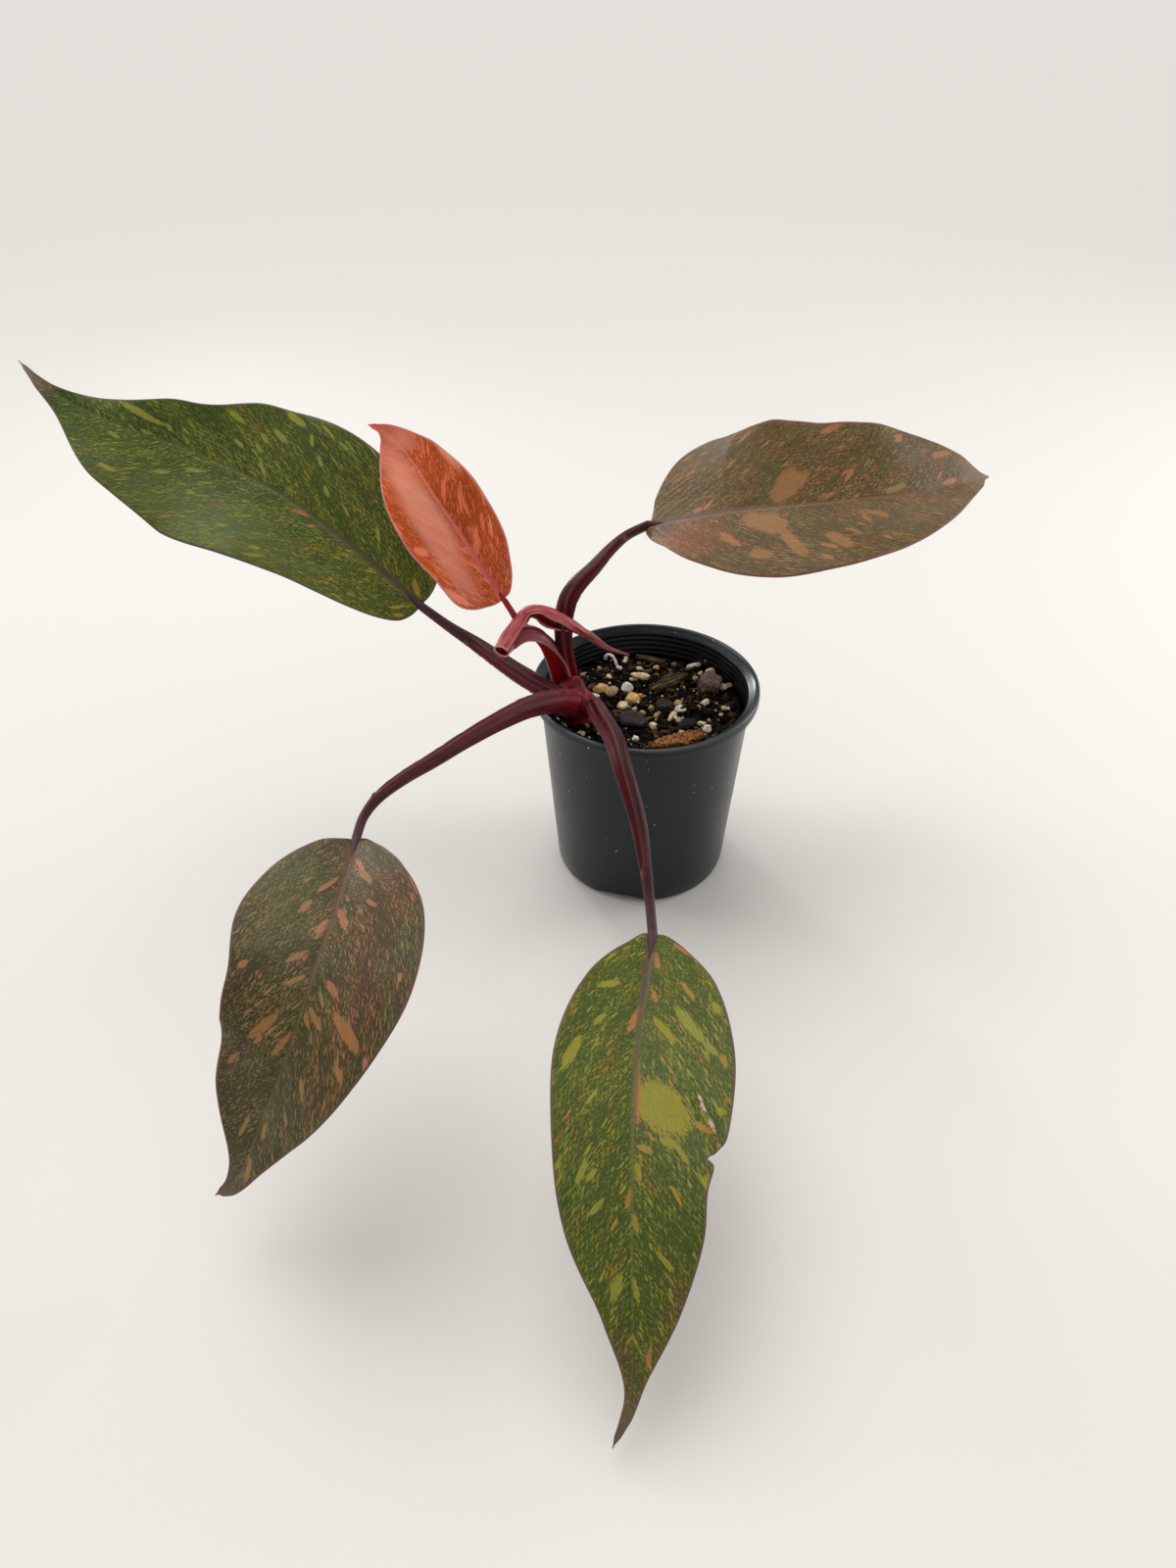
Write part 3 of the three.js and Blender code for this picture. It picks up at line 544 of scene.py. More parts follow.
for name, node, at, size, turn, tilt, sides in CHIPS:
    dark, middle, light, lines, rough = CHIP_LOOKS[name]
    mesh = bmesh.new()
    corners = []
    for k in range(sides):
        around = 2 * math.pi * (k + 0.3 * rng.uniform(-1, 1)) / sides
        reach = rng.uniform(0.84, 1)
        x, y = reach * math.cos(around) * size[0] / 2, reach * math.sin(around) * size[1] / 2
        corners.append(mesh.verts.new((x, y, -size[2] / 2)))
    flat = mesh.faces.new(corners)
    risen = bmesh.ops.extrude_face_region(mesh, geom=[flat])["geom"]
    risen = [v for v in risen if isinstance(v, bmesh.types.BMVert)]
    bmesh.ops.translate(mesh, verts=risen, vec=(0, 0, size[2]))
    bmesh.ops.recalc_face_normals(mesh, faces=mesh.faces)
    bmesh.ops.bevel(
        mesh, geom=mesh.edges[:], offset=min(0.9, size[2] / 3), segments=2, profile=0.5,
        affect="EDGES", material=-1,
    )
    bmesh.ops.triangulate(mesh, faces=[f for f in mesh.faces if len(f.verts) > 4])
    bmesh.ops.subdivide_edges(mesh, edges=mesh.edges[:], cuts=2, use_grid_fill=True)
    bmesh.ops.subdivide_edges(mesh, edges=mesh.edges[:], cuts=1, use_grid_fill=True)
    spread = mesh.loops.layers.uv.new("chip")
    for face in mesh.faces:
        for loop in face.loops:
            loop[spread].uv = (loop.vert.co.x, loop.vert.co.y + 0.7 * loop.vert.co.z)
    for vertex in mesh.verts:
        p = vertex.co
        if lines:
            along = Vector((p.x * 0.15, p.y * 1.1 * lines, p.z * 1.1 * lines))
        else:
            along = p * 0.55
        swell = noise.noise(along + Vector((sides, turn, 1))) + 0.5 * noise.noise(along * 2.7)
        p += p.normalized() * 0.8 * rough * swell
        if name == "fresh_bark":
            p.z += 0.7 * noise.noise(p * 1.6)
    place = (
        Matrix.Translation(Vector(at) * MM)
        @ Matrix.Rotation(math.radians(turn), 4, "Z")
        @ Matrix.Rotation(math.radians(tilt[1]), 4, "Y")
        @ Matrix.Rotation(math.radians(tilt[0]), 4, "X")
        @ Matrix.Scale(MM, 4)
    )
    bmesh.ops.transform(mesh, matrix=place, verts=mesh.verts)
    chip = put(name, mesh, [chip_finish(name + "_surface", dark, middle, light, lines)])
    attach(chip, "root")
    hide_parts(node)


# Leaf blades: thin and leathery, folded up a little along a sunken midrib, with waved
# margins and a drawn-out tip. The chimera shows as flecks that follow the side veins, from
# dust-fine to thumb-sized, in yellow, orange and pink on green or olive brown.
# mid, left, right: midrib points and half widths at stations that crowd to both ends; face:
# where the upper side looks; fold in degrees; wave: height, waves and two phases; lobe: how
# far the base rounds back; margin_left and margin_right: place along the blade, reach and
# change of its width; crease: a scarred fold. patches: distance along the blade, distance
# across it, length, width, angle off the midrib and hue from 0, yellow green, towards 1, pink;
# at 1 itself a patch is the crease's pale dry scar with a painted glint on it. zones: the same
# four sizes and angle, which cast of colour they hold and how strongly; one kind holds painted
# sheen, the pale light the blade reflects, and on the new leaf the warm zones are painted sheen
# too. look: tones of the ground, of the painted sheen and of the flecks, width of the midrib,
# slant of the side veins, and how much dust and how many larger flecks the skin holds.
BLADES = {
    "front": dict(
        mid=((-1, -120, 62), (-8, -170, 66), (-11, -207, 63), (-12, -235, 53),
             (-12, -256, 38), (-13, -271, 21), (-18, -280, 8)),
        left=(2, 11, 26, 33, 30.5, 23.5, 14.5, 4.5, 2, 1, 0.5),
        right=(2, 8.5, 21.5, 28, 26.5, 21.5, 10, 2.5, 1.2, 0.8, 0.5),
        face=((0, -0.15, 1), (0, -0.75, 0.65)), fold=(12, 8), wave=(1.2, 2.5, 0.1, 0.55), lobe=2,
        margin_left=((106, 11, -3.2), (96.5, 3.2, -1.9), (97.3, 1.2, -2.2)),
        crease=((74, -20), (78, -21.5), (83, -23.4), (87, -25.6), (93, -26.2)),
        look=dict(
            seed=1.0, tip="#62554e", rib=2.0, dark="#2b360f", light="#4c5a22",
            cast="#414a1e", warm_and_sheen="#54452a", painted_sheen="#566334",
            hues=("#868636", "#8e8424", "#a07434", "#aa6a44"), midrib="#5a4638", midrib_far="#5f6a33",
            margin="#6b4c46", slant=1.25, hue_shift=-0.08, dust=1.2, flecked=0.8, under="#7d8154",
        ),
        patches=(
            (80, -10, 23, 11.9, 42, 0.3), (82, -8, 18, 10.5, 45, 0.28), (75, -1, 22, 2.2, 3, 0.9),
            (47, -17, 20, 4, 34, 0.1), (50, -9, 15, 2.7, 37, 0.35), (58, -25, 8, 2.4, 37, 0.05),
            (45, 2, 16, 2.5, 14, 0.8), (34, -4, 7, 1.9, 16, 0.75), (15, -3, 9, 1.8, 14, 0.75),
            (64, 22, 15, 3.3, 21, 0.25), (32, 13, 10, 3.2, 60, 0.25), (49, 14, 7, 2, 28, 0.1),
            (102, 16, 8, 2.2, 22, 0.1), (103, 13, 5, 1.8, 40, 0.1), (112, 11, 7, 1.9, 43, 0.15),
            (134, 5, 8, 2.8, 17, 0.1), (92, -11, 6, 2.7, 54, 0.1), (95, -15, 9, 1.8, 34, 0.15),
            (94, -4, 6, 2.1, 63, 0.5), (101, -2, 6, 1.8, 17, 0.3), (109, 1, 7, 1.8, 13, 0.6),
            (116, -1, 6, 1.8, 15, 0.5), (127, -10, 8, 1.8, 42, 0.2), (135, -1, 7, 1.8, 12, 0.15),
            (105, -24, 6, 2.1, 31, 0.25), (40, -26, 6, 2.5, 31, 0.2), (63, -29, 7, 1.8, 19, 0.5),
            (10, -13, 14, 1.8, 47, 0.75), (32, -16, 12, 1.8, 30, 0.6), (154, -5, 6, 1.6, -7, 0.7),
            (87, -22, 8, 1.9, 53, 0.5), (82, -28, 3, 2.2, 47, 0.4),
            # These three patches mark the crease: its pale dry scar with a painted glint, then browner
            # to the notch.
            (79.5, -22, 9, 1.3, 20, 1.0), (86.5, -25, 7, 1.3, 26, 1.0), (95.5, -28.5, 6, 2.2, 30, 0.96),
        ),
        zones=((168, 0, 46, 30, 0, "warm_and_sheen", 0.7), (148, -14, 50, 18, 20, "warm_and_sheen", 0.7),
               (30, -22, 60, 14, 20, "warm_and_sheen", 0.25)),
    ),
    "low_left": dict(
        mid=((-110, -109, 100), (-110, -150, 105), (-114, -177, 100), (-120, -194, 86),
             (-130, -202, 64), (-140, -208, 42), (-151, -208, 28)),
        left=(2, 8.5, 21.5, 34, 37, 28, 17.5, 7.5, 4, 1.5, 0.5),
        right=(2.5, 15.5, 27.5, 31.5, 27.5, 26.5, 22, 9, 2.5, 1, 0.5),
        face=((-0.05, -0.15, 1), (-0.35, -0.6, 0.7)), fold=(12, 6), wave=(0.5, 2, 0.3, 0.7), lobe=2,
        look=dict(
            seed=3.0, tip="#5c4a40", rib=1.6, dark="#282210", light="#463f24",
            cast="#414620", warm_and_sheen="#48301d", painted_sheen="#555238",
            hues=("#7a6e42", "#8c7044", "#94663e", "#a56a50"), midrib="#674c3e", midrib_far="#5f5138",
            margin="#6b4c46", slant=1.15, hue_shift=-0.02, dust=1.3, flecked=0.38, under="#857a5e",
        ),
        patches=(
            (19, -5, 13, 1.8, 24, 0.7), (26, -8, 12, 2.5, 32, 0.55), (29, 5, 10, 2.4, 32, 0.5),
            (41, 10, 7, 2.6, 21, 0.45), (49, 2, 8, 3.2, 24, 0.85), (46, -4, 12, 2.7, 30, 0.9),
            (71, -9, 8, 2.3, 53, 0.65), (81, -19, 15, 3.4, 65, 0.6), (88, 11, 14, 3.5, 32, 0.55),
            (93, 11, 5, 1.8, 25, 0.65), (62, 7, 7, 2.1, 49, 0.45), (80, -6, 9, 1.9, 52, 0.5),
            (81, -3, 5, 1.8, 40, 0.6), (91, 3, 10, 2.1, 19, 0.5), (98, -11, 7, 1.8, 48, 0.55),
            (90, -22, 5, 2, 59, 0.55), (86, -30, 4, 2, 44, 0.8), (107, 18, 8, 1.8, 20, 0.5),
            (126, 5, 9, 1.7, 8, 0.3), (122, -3, 6, 2.1, 6, 0.4), (68, 23, 4, 2.2, 49, 0.75),
            (70, 5, 7, 1.8, 51, 0.4), (41, -13, 6, 1.8, 51, 0.65), (37, -28, 11, 1.8, 29, 0.7),
            (66, -32, 3, 1.7, 23, 0.85), (139, -3, 9, 2.7, 12, 0.45), (110, -10, 5, 1.7, 41, 0.45),
        ),
        zones=((60, -18, 90, 26, 0, "warm_and_sheen", 0.8), (40, 16, 60, 26, 0, "cast", 0.8),
               (110, 2, 40, 26, 0, "cast", 0.5)),
    ),
    "far_left": dict(
        mid=((-97, 11, 128), (-126, 24, 149), (-157, 38, 167), (-191, 47, 181),
             (-223, 49, 193), (-249, 56, 204), (-264, 65, 214)),
        left=(2.5, 13.5, 22, 28.5, 37.5, 39.5, 27, 8, 2.5, 1, 0.5),
        right=(3, 15, 27, 37.5, 37, 23, 12.5, 4, 1.5, 0.8, 0.5),
        face=((-0.1, -0.5, 0.85), (0.1, -0.75, 0.65)), fold=(10, 6), wave=(2.4, 3, 0.2, 0.6), lobe=2,
        margin_right=((120, 8, -1.6), (100, 9, 2.0)),
        look=dict(
            seed=5.0, tip="#86756c", rib=1.8, dark="#29350c", light="#465420",
            cast="#3e4f12", warm_and_sheen="#574a33", painted_sheen="#5f6b42",
            hues=("#848a3c", "#948c2c", "#9c7a3a", "#a8683e"), midrib="#534b33", midrib_far="#566030",
            margin="#5f544a", slant=1.5, hue_shift=-0.12, dust=1.2, flecked=0.5, under="#77815a",
        ),
        patches=(
            (142, 8, 19, 2.7, 10, 0.3), (106, 21, 8, 2.2, 16, 0.2), (86, 32, 9, 3.2, 15, 0.3),
            (93, 18, 5, 2.3, 33, 0.05), (88, 22, 8, 2.7, 25, 0.05), (93, 13, 5, 1.7, 35, 0.05),
            (101, 11, 5, 1.8, 23, 0.1), (88, 6, 9, 1.5, 46, 0.1), (70, 21, 5, 1.7, 39, 0.1),
            (77, 27, 6, 1.5, 57, 0.1), (74, 34, 7, 1.5, 21, 0.2), (66, 32, 5, 1.5, 4, 0.15),
            (61, 12, 6, 1.7, 34, 0.15), (33, 11, 7, 1.6, 42, 0.15), (6, 4, 9, 2.3, 35, 0.5),
            (126, -14, 7, 1.6, 16, 0.1), (112, -8, 9, 1.5, 21, 0.1), (145, -20, 6, 2, -7, 0.3),
            (69, -27, 6, 1.7, 28, 0.1), (67, -30, 10, 1.5, 29, 0.15), (89, -26, 6, 1.5, 22, 0.15),
            (64, -2, 8, 1.5, 16, 0.9), (57, -4, 4, 1.5, 38, 0.75), (109, -18, 5, 1.5, 21, 0.1),
            (7, -8, 6, 1.6, 51, 0.45), (4, -10, 4, 1.5, 40, 0.7), (148, -5, 5, 1.7, -12, 0),
            (137, 1, 4, 1.5, 10, 0.1),
        ),
        zones=((190, 0, 26, 20, 0, "warm_and_sheen", 0.9), (150, -8, 70, 20, 0, "cast", 0.9),
               (95, -26, 130, 34, 0, "painted_sheen", 0.75)),
    ),
    "right": dict(
        mid=((2, 43, 150), (29, 25, 164), (55, 17, 171), (84, 21, 172), (115, 33, 170), (152, 61, 164)),
        left=(3, 29, 39, 39, 39, 38, 34.5, 30, 21.5, 9, 1.5),
        right=(3, 9, 18.5, 31.5, 39, 38, 31, 20.5, 10, 3.5, 1),
        face=((0.05, -0.45, 0.9), (0.1, -0.45, 0.9)), fold=(10, 14), wave=(1.6, 2.5, 0.4, 0.9), lobe=2,
        look=dict(
            seed=7.0, tip="#86705f", rib=2.3, dark="#35280f", light="#67532f",
            cast="#4c4a26", warm_and_sheen="#74442c", painted_sheen="#675644",
            hues=("#8a7a48", "#946a3e", "#a26a44", "#b07056"), midrib="#7d675c", midrib_far="#7d5a44",
            margin="#7d5048", slant=1.15, hue_shift=0.02, dust=1.3, flecked=0.8, under="#857a5e",
        ),
        patches=(
            (65, -9, 18, 9.3, 51, 0.4), (70, -9, 18, 3.8, 44, 0.4), (56, 9, 20, 8.7, 35, 0.4),
            (60, 9, 13, 6.6, 62, 0.4), (65, 21, 19, 4.1, 70, 0.42), (80, 23, 12, 5.3, 59, 0.42),
            (56, 27, 7, 5.4, 16, 0.35), (45, 18, 12, 3.3, 44, 0.42), (114, -3, 12, 2.8, 14, 0.1),
            (94, -11, 8, 2.1, 45, 0.65), (150, -15, 13, 3, 2, 0.6), (91, -33, 12, 3.1, 11, 0.45),
            (146, -2, 10, 2.6, 4, 0.7), (126, -26, 8, 1.7, 7, 0.7), (125, -24, 6, 1.8, 13, 0.7),
            (83, -3, 8, 2, 20, 0.45), (25, -3, 5, 2.7, 14, 0.85), (30, -5, 6, 1.8, 56, 0.8),
            (38, -23, 5, 1.7, 56, 0.6), (44, -35, 9, 2.3, 28, 0.45), (94, 12, 5, 2.4, 56, 0.5),
            (101, 10, 7, 2.9, 39, 0.42), (87, 19, 5, 1.8, 57, 0.42), (76, 26, 6, 2.1, 33, 0.5),
            (74, 32, 5, 1.8, 54, 0.5), (98, 24, 4, 2, 31, 0.55),
        ),
        zones=((28, 14, 40, 26, 20, "warm_and_sheen", 1.0), (60, -14, 30, 14, 60, "cast", 0.8),
               (110, -18, 70, 24, 0, "cast", 0.4),
               (118, 12, 90, 30, 0, "painted_sheen", 0.8)),
    ),
    "new": dict(
        mid=((-60, -7, 142), (-69, -6, 157), (-78, 0, 170), (-87, 6, 182),
             (-96, 16, 192), (-105, 24, 199), (-113, 24, 203)),
        left=(1.5, 8, 17.5, 19.5, 22, 20.5, 15, 7.5, 2, 1, 0.5),
        right=(1.5, 5.5, 10.5, 15, 16.5, 16.5, 12, 5.5, 2, 1, 0.5),
        face=((0.25, -0.85, 0.5), (0.15, -0.8, 0.6)), fold=(14, 8), wave=(0.6, 2, 0.2, 0.6), lobe=1.5,
        look=dict(
            seed=9.0, tip="#c8604c", rib=1.0, dark="#8a3406", light="#b04a14",
            # On this leaf the warm and sheen tones are pale salmon: painted sheen where the light
            # glances off the blade.
            cast="#bd4c1a", warm_and_sheen="#e59a82", painted_sheen="#e8a28c",
            hues=("#d66c40", "#e27048", "#e87854", "#ee8a70"), midrib="#c8605a", midrib_far="#dc8470",
            margin="#cf8a82", slant=1.7, hue_shift=0.1, dust=1.5, flecked=1.5, under="#cf8a6c",
        ),
        patches=(
            (26, 4, 11, 1.8, 30, 0.6), (49, 4, 9, 1.8, 31, 0.5), (34, -18, 7, 3, 31, 0.7),
            (13, -16, 12, 3.1, 26, 0.9), (46, -21, 6, 1.8, 0, 0.9), (41, 8, 12, 1.7, 12, 0.4),
            (31, 10, 7, 1.6, 25, 0.5),
        ),
        # The warm zones and the two narrow zones on the right paint that sheen; the last zone is the
        # blade's own darker cast.
        zones=((44, -8, 78, 15, 3, "warm_and_sheen", 1.0), (80, 2, 22, 12, 0, "warm_and_sheen", 0.8),
               (66, 13, 30, 5, -4, "painted_sheen", 0.9),
               (40, 17, 40, 4, 0, "painted_sheen", 0.5), (40, -19, 60, 8, 0, "cast", 0.8)),
    ),
}
BLADE_ROWS, BLADE_COLUMNS = 320, 88
VEIN_PITCH = 5.5
BLUNT = 2.4  # power of the patches' rounded outlines: 2 is an ellipse
# Flecks from dust to dashes: size across the blade and across the side veins, the share of
# places that hold one, and how strongly it shows.
FLECKS = (
    (0.8, 0.5, 0.45, 0.6),
    (1.5, 0.8, 0.26, 0.88),
    (3.0, 1.7, 0.12, 0.9),
    (4.6, 3.0, 0.035, 0.92),
)


def smooth_value(values, t):
    """Value or point at t, from 0 to 1, on a smooth curve through evenly spaced ones."""
    last = len(values) - 1
    x = min(max(t, 0.0), 1.0) * last
    i = min(int(x), last - 1)
    f = x - i
    p1, p2 = values[i], values[i + 1]
    p0 = values[i - 1] if i > 0 else p1 * 2 - p2
    p3 = values[i + 2] if i + 2 <= last else p2 * 2 - p1
    m1, m2 = (p2 - p0) * 0.5, (p3 - p1) * 0.5
    f2, f3 = f * f, f * f * f
    ends = p1 * (2 * f3 - 3 * f2 + 1) + p2 * (3 * f2 - 2 * f3)
    return ends + m1 * (f3 - 2 * f2 + f) + m2 * (f3 - f2)


def directions(points, t, face_start, face_end, towards=None, share=0.0):
    """Unit vectors along a path, out of its face and to its side; the first may lean by a
    share to another direction."""
    along = smooth_value(points, min(t + 0.01, 1)) - smooth_value(points, max(t - 0.01, 0))
    along.normalize()
    if towards:
        along = along.lerp(towards, share).normalized()
    face = Vector(face_start).lerp(Vector(face_end), t)
    face = (face - along * face.dot(along)).normalized()
    return along, face, along.cross(face)


def ease(low, high, x):
    """0 below low, 1 above high and a smooth rise between them."""
    x = min(max((x - low) / (high - low), 0), 1)
    return x * x * (3 - 2 * x)


def formed(rows, columns, place, closed=False, marks=()):
    """A sheet, or a tube if closed, bent from a grid: place(i, j) gives the corner in row i
    and column j its point in millimetres, its place on the surface map and its marks."""
    mesh = bmesh.new()
    bmesh.ops.create_grid(mesh, x_segments=columns, y_segments=rows, size=0.5)
    mesh.verts.index_update()
    spread = mesh.loops.layers.uv.new("spread")
    layers = [mesh.verts.layers.float_color.new(name) for name in marks]
    maps = {}
    for vertex in mesh.verts:
        i, j = round((vertex.co.y + 0.5) * rows), round((vertex.co.x + 0.5) * columns)
        point, maps[vertex.index], values = place(i, j)
        vertex.co = point * MM
        for layer, value in zip(layers, values):
            vertex[layer] = value
    for face in mesh.faces:
        for loop in face.loops:
            loop[spread].uv = maps[loop.vert.index]
    if closed:
        bmesh.ops.remove_doubles(mesh, verts=mesh.verts, dist=1e-7)
        bmesh.ops.holes_fill(mesh, edges=[e for e in mesh.edges if e.is_boundary])
        bmesh.ops.recalc_face_normals(mesh, faces=mesh.faces)
    return mesh


def blade_finish(name, look, length):
    """Living upper skin of a blade: fine-grained, flecked along its side veins, satin wax."""
    material, tree, shader = new_finish(name, IOR=1.45, Specular_IOR_Level=0.2)
    spread = add(tree, "UVMap", uv_map="spread")
    split = add(tree, "SeparateXYZ", spread)
    out = add(tree, "Math", split.outputs["X"], operation="ABSOLUTE")
    square = add(tree, "Math", (out, out), operation="MULTIPLY")
    along = split.outputs["Y"]
    bent = add(tree, "Math", (square, -0.01 * look["slant"], along), operation="MULTIPLY_ADD")
    vein = add(tree, "Math", (out, -look["slant"], bent), operation="MULTIPLY_ADD")
    veins = add(tree, "CombineXYZ", (split.outputs["X"], vein, look["seed"]))
    mark = add(tree, "SeparateColor", add(tree, "Attribute", attribute_name="marks"))
    zone = add(tree, "SeparateColor", add(tree, "Attribute", attribute_name="zones"))

    # Ground: dark grains in a lighter skin, with slow drifts of tone.
    grain_at = add(tree, "VectorMath", (veins, (1.0, 1.9, 3.1)), operation="MULTIPLY")
    grains = add(tree, "TexNoise", (grain_at, 1.0, 4.0, 0.75))
    skin = add(tree, "ValToRGB", grains, [(0.36, look["dark"]), (0.64, look["light"])])
    drift_at = add(tree, "VectorMath", (veins, (0.05, 0.05, 1.9)), operation="MULTIPLY")
    drifts = add(tree, "TexNoise", (drift_at, 1.0, 3.0))
    # Zones of tone from the zone marks: the blue channel is painted sheen, the pale light that the
    # blade reflects, and on the new leaf the red, warm one is painted sheen too.
    for source, tint, low, high, strength in (
        (zone.outputs["Red"], "warm_and_sheen", 0.1, 0.9, 0.75),
        (zone.outputs["Green"], "cast", 0.1, 0.9, 0.7),
        (zone.outputs["Blue"], "painted_sheen", 0.1, 0.9, 0.7),
        (drifts, "cast", 0.42, 0.62, 0.35),
    ):
        share = add(tree, "MapRange", (source, low, high, 0, strength))
        skin = add(tree, "Mix", (share, skin, look[tint]), data_type="RGBA")

    # Hue of the flecks: yellow green to pink in drifts, pinker on warm ground.
    hue_at = add(tree, "VectorMath", (veins, (0.12, 0.16, 5.3)), operation="MULTIPLY")
    hue_noise = add(tree, "TexNoise", (hue_at, 1.0))
    hue = add(tree, "MapRange", (hue_noise, 0.38, 0.7, 0, 0.75))
    hue = add(tree, "Math", (zone.outputs["Red"], 0.35, hue), operation="MULTIPLY_ADD")
    hue = add(tree, "Math", (hue, look["hue_shift"]), operation="ADD")
    tones = list(zip((0.05, 0.35, 0.6, 0.8, 0.93), look["hues"] + look["hues"][-1:]))
    fleck_tone = add(tree, "ValToRGB", hue, tones)
    wander = add(tree, "TexNoise", (grain_at, 0.9))
    crowd_at = add(tree, "VectorMath", (veins, (0.075, 0.075, 2.3)), operation="MULTIPLY")
    crowd = add(tree, "TexNoise", (crowd_at, 1.0, 3.0))
    for long, wide, often, strength in FLECKS:
        often *= look["dust"] if long < 2 else look["flecked"]
        size, shift = (1 / long, 1 / wide, 1), (7.7 * look["seed"], 3.1 * look["seed"], 0)
        at = add(tree, "VectorMath", (veins, size, shift), operation="MULTIPLY_ADD")
        stray = (wander.outputs["Color"], (0.5, 0.5, 0), at)
        at = add(tree, "VectorMath", stray, operation="MULTIPLY_ADD")
        cells = add(tree, "TexVoronoi", (at, 1.0), voronoi_dimensions="2D")
        chance = add(tree, "SeparateColor", cells.outputs["Color"])
        level = add(tree, "MapRange", (crowd, 0.34, 0.68, 0.35 * often, 1.7 * often))
        there = add(tree, "Math", (chance.outputs["Red"], level), operation="LESS_THAN")
        reach = add(tree, "MapRange", (chance.outputs["Green"], 0, 1, 0.2, 0.46))
        inside = add(tree, "Math", (reach, cells.outputs["Distance"]), operation="SUBTRACT")
        share = add(tree, "MapRange", (inside, 0, 0.07, 0, strength))
        share = add(tree, "Math", (share, there), operation="MULTIPLY")
        skin = add(tree, "Mix", (share, skin, fleck_tone), data_type="RGBA")

    # Patches: sectors of pale tissue with edges frayed along the veins.
    fray_at = add(tree, "VectorMath", (veins, (0.5, 1.4, 4.7)), operation="MULTIPLY")
    fray = add(tree, "TexNoise", (fray_at, 1.0, 4.0, 0.65))
    frayed = add(tree, "Math", (fray, 1.6, mark.outputs["Red"]), operation="MULTIPLY_ADD")
    in_patch = add(tree, "MapRange", (frayed, 0.78, 0.86, 0, 0.93))
    # Hue 1 is the crease's scar: pale dry tissue with a painted glint along the fold.
    patch_tone = add(tree, "ValToRGB", mark.outputs["Green"], tones + [(1.0, "#cdbfb4")])
    dotted = add(tree, "MapRange", (grains, 0.36, 0.6, 0.35, 0.0))
    patch_skin = add(tree, "Mix", (dotted, patch_tone, skin), data_type="RGBA")
    skin = add(tree, "Mix", (in_patch, skin, patch_skin), data_type="RGBA")

    # Midrib: a flat sunken band, grey brown where the stalk comes in and thinning to the tip.
    band = add(tree, "MapRange", (along, 0, 0.85 * length, 1.0, 0.0))
    band = add(tree, "Math", (band, 1.7), operation="POWER")
    band = add(tree, "Math", (band, look["rib"], 0.45), operation="MULTIPLY_ADD")
    off = add(tree, "Math", (out, band), operation="DIVIDE")
    wobble_at = add(tree, "VectorMath", (spread, (0.6, 0.35, 1)), operation="MULTIPLY")
    wobble = add(tree, "TexNoise", (wobble_at, 1.0, 3.0))
    off = add(tree, "Math", (wobble, 0.9, off), operation="MULTIPLY_ADD")
    on_midrib = add(tree, "MapRange", (off, 1.0, 1.7, 0.85, 0.0))
    fading = add(tree, "MapRange", (along, 0.3 * length, 0.8 * length, 1.0, 0.45))
    on_midrib = add(tree, "Math", (on_midrib, fading), operation="MULTIPLY")
    midrib_tone = add(tree, "MapRange", (along, 0.12 * length, 0.6 * length))
    midrib = add(tree, "Mix", (midrib_tone, look["midrib"], look["midrib_far"]), data_type="RGBA")
    skin = add(tree, "Mix", (on_midrib, skin, midrib), data_type="RGBA")

    # Margin: a fine translucent rim, dusky pink.
    rim = add(tree, "MapRange", (mark.outputs["Blue"], 0.35, 1, 0.85, 0.0))
    skin = add(tree, "Mix", (rim, skin, look["margin"]), data_type="RGBA")
    tip = add(tree, "MapRange", (along, length - 22, length - 2, 0, 0.85))
    skin = add(tree, "Mix", (tip, skin, look["tip"]), data_type="RGBA")
    link(tree, skin, shader.inputs["Base Color"])

    sheen = add(tree, "MapRange", (grains, 0.3, 0.7, 0.5, 0.38))
    link(tree, sheen, shader.inputs["Roughness"])
    skin_relief = add(tree, "Bump", {"Strength": 0.3, "Distance": 0.00025, "Height": grains})
    link(tree, skin_relief, shader.inputs["Normal"])
    return material


def underside_finish(name, look):
    """Paler, duller lower skin with raised side veins."""
    material, tree, shader = new_finish(name, Roughness=0.62, IOR=1.4)
    spread = add(tree, "UVMap", uv_map="spread")
    split = add(tree, "SeparateXYZ", spread)
    out = add(tree, "Math", split.outputs["X"], operation="ABSOLUTE")
    vein = add(tree, "Math", (out, -1.2 * look["slant"], split.outputs["Y"]), operation="MULTIPLY_ADD")
    veins = add(tree, "CombineXYZ", (split.outputs["X"], vein, look["seed"]))
    mottle_at = add(tree, "VectorMath", (veins, (0.3, 0.8, 1)), operation="MULTIPLY")
    mottle = add(tree, "TexNoise", (mottle_at, 1.0, 5.0, 0.65))
    tone = add(tree, "ValToRGB", mottle, [(0.3, look["light"]), (0.7, look["under"])])
    rib = add(tree, "MapRange", (out, 0.9, 2.0, 0.8, 0.0))
    skin = add(tree, "Mix", (rib, tone, look["midrib"]), data_type="RGBA")
    link(tree, skin, shader.inputs["Base Color"])
    ridge = add(tree, "Math", (vein, 2 * math.pi / VEIN_PITCH), operation="MULTIPLY")
    ridge = add(tree, "Math", ridge, operation="COSINE")
    relief = add(tree, "Bump", {"Strength": 0.4, "Distance": 0.0003, "Height": ridge})
    link(tree, relief, shader.inputs["Normal"])
    return material


def margin_finish(name, look):
    """The cut-thin edge of a blade, dusky pink with darker spots."""
    material, tree, shader = new_finish(name, Roughness=0.5)
    where = add(tree, "TexCoord").outputs["Object"]
    spots = add(tree, "TexNoise", (where, 400.0, 3.0))
    tone = add(tree, "ValToRGB", spots, [(0.35, look["dark"]), (0.6, look["margin"])])
    link(tree, tone, shader.inputs["Base Color"])
    return material


def oval(along, across, length, width, turn):
    """A place from an oval's middle, along and across the oval, in halves of its size."""
    slope = math.radians(turn)
    lengthwise = (along * math.cos(slope) + across * math.sin(slope)) / (length / 2)
    return lengthwise, (across * math.cos(slope) - along * math.sin(slope)) / (width / 2)


